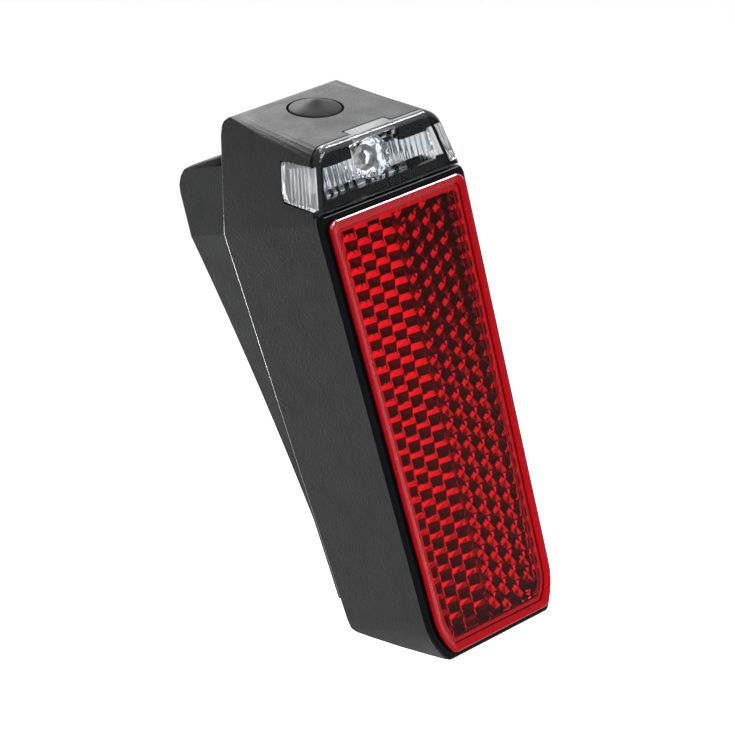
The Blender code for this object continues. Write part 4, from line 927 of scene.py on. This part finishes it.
# %% The lamp's optic
optic = copy_of_node("lens_optic", "clear_optic")
optic_finish = clear("clear_optic", (0.96, 0.98, 1.0), (0.0, 0.03), flow=1.1, height=0.07)
optic.data.materials.append(optic_finish)
settle(optic, "light", "lens_optic", angle=SMOOTH_DEGREES)

# %% [markdown]
# The lamp box is glossy black where it masks the window, and its back wall is metallised.
# One material does both, by the depth behind the front face. The light and dark that the
# optic and its wings show are painted into the metal's colour as a wave of bright and dark
# bands, painted reflections standing for facets far too fine to be seen one by one.

# %% The lamp box's two finishes
BACK_WALL = 6.8
PAINTED_BAND_SIZE = 6.25
BOX_BLACK = (0.003, 0.003, 0.0035)


def lamp_box_finish():
    """Glossy black in front, and painted bright and dark bands of reflection on the metal back
    wall.
    """
    material = plain_material("lamp_box", BOX_BLACK, 0.16)
    shader = shader_of(material)
    shader.inputs["Specular IOR Level"].default_value = 0.03
    start, end = at(0, BACK_WALL, 0).y, at(0, BACK_WALL + 0.1, 0).y
    inside = between(material, along(material, "Y"), 0.0, 1.0, start, end)
    bands = add_node(
        material, "ShaderNodeTexWave", bands_direction="X", Scale=1.0, Distortion=9.0, Detail=2.0
    )
    place = scaled_place(material, [1.0 / (PAINTED_BAND_SIZE * MM)] * 3)
    link(material, place, bands.inputs["Vector"])
    # painted reflections: bright and dark bands in the metal's colour stand for the facets' light
    # and dark
    painted_bands = tinted(material, bands.outputs["Fac"], (0.02, 0.02, 0.022), (0.95, 0.96, 0.98))
    mix = add_node(material, "ShaderNodeMix", data_type="RGBA")
    mix.inputs["A"].default_value = (*BOX_BLACK, 1.0)
    link(material, painted_bands, mix.inputs["B"])
    link(material, inside, mix.inputs["Factor"])
    link(material, mix.outputs["Result"], shader.inputs["Base Color"])
    link(material, inside, shader.inputs["Metallic"])
    give_bump(material, noise(material, 2.0), 0.01)
    return material


# %% [markdown]
# The CAD node's posts beside the window are wider than the real ones look, so each side
# opening is cut wider. One block is mirrored to the other side and cuts both at once.

# %% The lamp box
OPENING_MIDDLE, OPENING_WIDTH = 14.4, 4.6
OPENING_FRONT, OPENING_BACK = 1.5, 6.9
OPENING_LOW, OPENING_HIGH = 82.4, 87.6
shield = copy_of_node("light_shield", "lamp_box")
bpy.ops.object.select_all(action="DESELECT")
bpy.ops.mesh.primitive_cube_add(size=MM, location=at(
    OPENING_MIDDLE, (OPENING_FRONT + OPENING_BACK) / 2, (OPENING_LOW + OPENING_HIGH) / 2
))
opening = bpy.context.object
opening.name = "side_opening"
opening.scale = (OPENING_WIDTH, OPENING_BACK - OPENING_FRONT, OPENING_HIGH - OPENING_LOW)
bpy.ops.object.transform_apply(location=True, rotation=True, scale=True)
apply_modifier(opening, "MIRROR", use_axis=(True, False, False))
combine(shield, opening, "DIFFERENCE")
shield.data.materials.append(lamp_box_finish())
settle(shield, "light", "light_shield")

# %% [markdown]
# The button is a soft rubber cap: a low cone with a small flat at its tip, moulded with a
# fine grain so that a gloved finger doesn't slip. The CAD cone ends in one point. Cutting
# the point off would need a second tool, but a vertex bevel turns it into a flat at once.

# %% The button
TIP_FLAT = 0.55
cap = copy_of_node("push_button", "rubber_button")
tip = max((vertex.co for vertex in cap.data.vertices), key=lambda place: place.z).copy()
bpy.ops.object.mode_set(mode="EDIT")
select_parts(cap, "VERT", lambda vertex: (vertex.co - tip).length < 0.01 * MM)
bpy.ops.mesh.bevel(offset=TIP_FLAT * MM, affect="VERTICES")
bpy.ops.object.mode_set(mode="OBJECT")
cap_finish = plastic(
    "grained_rubber", (0.003, 0.003, 0.003), (0.007, 0.007, 0.007), (0.35, 0.6),
    grain=0.16, height=0.08, gloss=0.12,
)
cap.data.materials.append(cap_finish)
settle(cap, "button", "push_button", angle=25)

# %% [markdown]
# What sits inside is seen only through the window or with the light taken apart, and each
# piece still gets the finish it has on the real light: solder masks, plated contacts, black
# mould resin, ferrite, brass and the cells' printed sleeves, here without any print. Metals
# differ from plastics in that their marks run one way, as a tool or a roller left them.

# %% Metals
METAL_CLOUD, METAL_BUMP = 3.0, 0.01


def metal(name, dark, light, rough, grain=0.6, stretch=(1.0, 1.0, 1.0)):
    """A plated or turned metal with fine marks along one way."""
    material = plain_material(name, light, rough[0])
    shader = shader_of(material)
    shader.inputs["Metallic"].default_value = 1.0
    colour = tinted(material, noise(material, METAL_CLOUD), dark, light)
    link(material, colour, shader.inputs["Base Color"])
    marks = noise(material, grain, 2.0, stretch)
    link(material, between(material, marks, *rough), shader.inputs["Roughness"])
    give_bump(material, marks, METAL_BUMP)
    return material


brass = metal(
    "turned_brass", (0.62, 0.42, 0.16), (0.75, 0.53, 0.22), (0.25, 0.4), 0.25, (1.0, 1.0, 8.0)
)
zinc = metal("zinc_steel", (0.55, 0.56, 0.58), (0.7, 0.7, 0.72), (0.3, 0.45), 0.4)
nickel = metal(
    "nickel_strip", (0.62, 0.61, 0.58), (0.75, 0.74, 0.7), (0.2, 0.32), 0.2, (1.0, 1.0, 0.1)
)
dress(brass, "threaded_insert_lower", "threaded_insert_upper")
dress(zinc, "closing_screw", "spring_left", "spring_right")
dress(nickel, "bridge_plate", "positive_strip", "negative_strip")

# %% [markdown]
# The boards, the chip, the coil and the small mouldings are plastics and resins, so the
# function for plastics makes them all. A table keeps their numbers together: the name, two
# colours, two roughnesses, the grain's size and height, and the strength of the mirror.

# %% Boards and small mouldings
INNER_PLASTICS = (
    ("white_solder_mask", (0.62, 0.63, 0.62), (0.72, 0.73, 0.72), (0.25, 0.4), 0.8, 0.01, 0.5),
    ("green_solder_mask", (0.01, 0.09, 0.035), (0.02, 0.14, 0.05), (0.25, 0.4), 0.8, 0.02, 0.5),
    ("mould_resin", (0.012, 0.012, 0.013), (0.02, 0.02, 0.021), (0.5, 0.65), 0.15, 0.01, 0.5),
    ("ferrite", (0.035, 0.033, 0.032), (0.06, 0.057, 0.055), (0.55, 0.75), 0.2, 0.03, 0.5),
    ("white_nylon", (0.66, 0.66, 0.63), (0.75, 0.75, 0.72), (0.35, 0.5), 0.5, 0.01, 0.5),
    ("tray_plastic", (0.018, 0.018, 0.019), (0.028, 0.028, 0.03), (0.4, 0.55), 0.5, 0.02, 0.5),
    ("sensor_window", (0.002, 0.002, 0.003), (0.004, 0.003, 0.006), (0.05, 0.1), 2.0, 0.004, 0.2),
    ("led_dome", (0.7, 0.66, 0.5), (0.82, 0.79, 0.66), (0.15, 0.25), 0.3, 0.01, 0.5),
)
WORN_BY = {
    "white_solder_mask": ("lamp_board",),
    "green_solder_mask": ("driver_board",),
    "mould_resin": ("driver_chip", "switch_body"),
    "ferrite": ("inductor",),
    "white_nylon": ("switch_plunger",),
    "tray_plastic": ("battery_tray",),
    "sensor_window": ("light_sensor",),
    "led_dome": ("led",),
}
for settings in INNER_PLASTICS:
    dress(plastic(*settings), *WORN_BY[settings[0]])

# %% [markdown]
# A cell has a bright steel case with a thin printed sleeve round it. The sleeve's two
# colours show which way up the cell stands: the lighter one marks its plus end, which
# points up in one cell and down in the other. Two materials would need a cut in the mesh,
# but one material can change its colour at a height.

# %% The cells
SLEEVE_BAND = 11.0
SLEEVE_DARK, SLEEVE_LIGHT = (0.02, 0.024, 0.03), (0.62, 0.36, 0.16)
SLEEVE_ROUGH = (0.22, 0.35)
BORDER_HALF = 0.05
for name, plus_up in (("battery_left", True), ("battery_right", False)):
    low, high = (corner.z for corner in map(Vector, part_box(name)))
    edge = high - SLEEVE_BAND * MM if plus_up else low + SLEEVE_BAND * MM
    colours = (SLEEVE_DARK, SLEEVE_LIGHT) if plus_up else (SLEEVE_LIGHT, SLEEVE_DARK)
    sleeve = plain_material(name + "_sleeve", SLEEVE_LIGHT, SLEEVE_ROUGH[0])
    start, end = edge - BORDER_HALF * MM, edge + BORDER_HALF * MM
    step = between(sleeve, along(sleeve, "Z"), 0.0, 1.0, start, end)
    link(sleeve, tinted(sleeve, step, *colours), shader_of(sleeve).inputs["Base Color"])
    grained(sleeve, SLEEVE_ROUGH, grain=1.5, height=0.01)
    dress(sleeve, name)
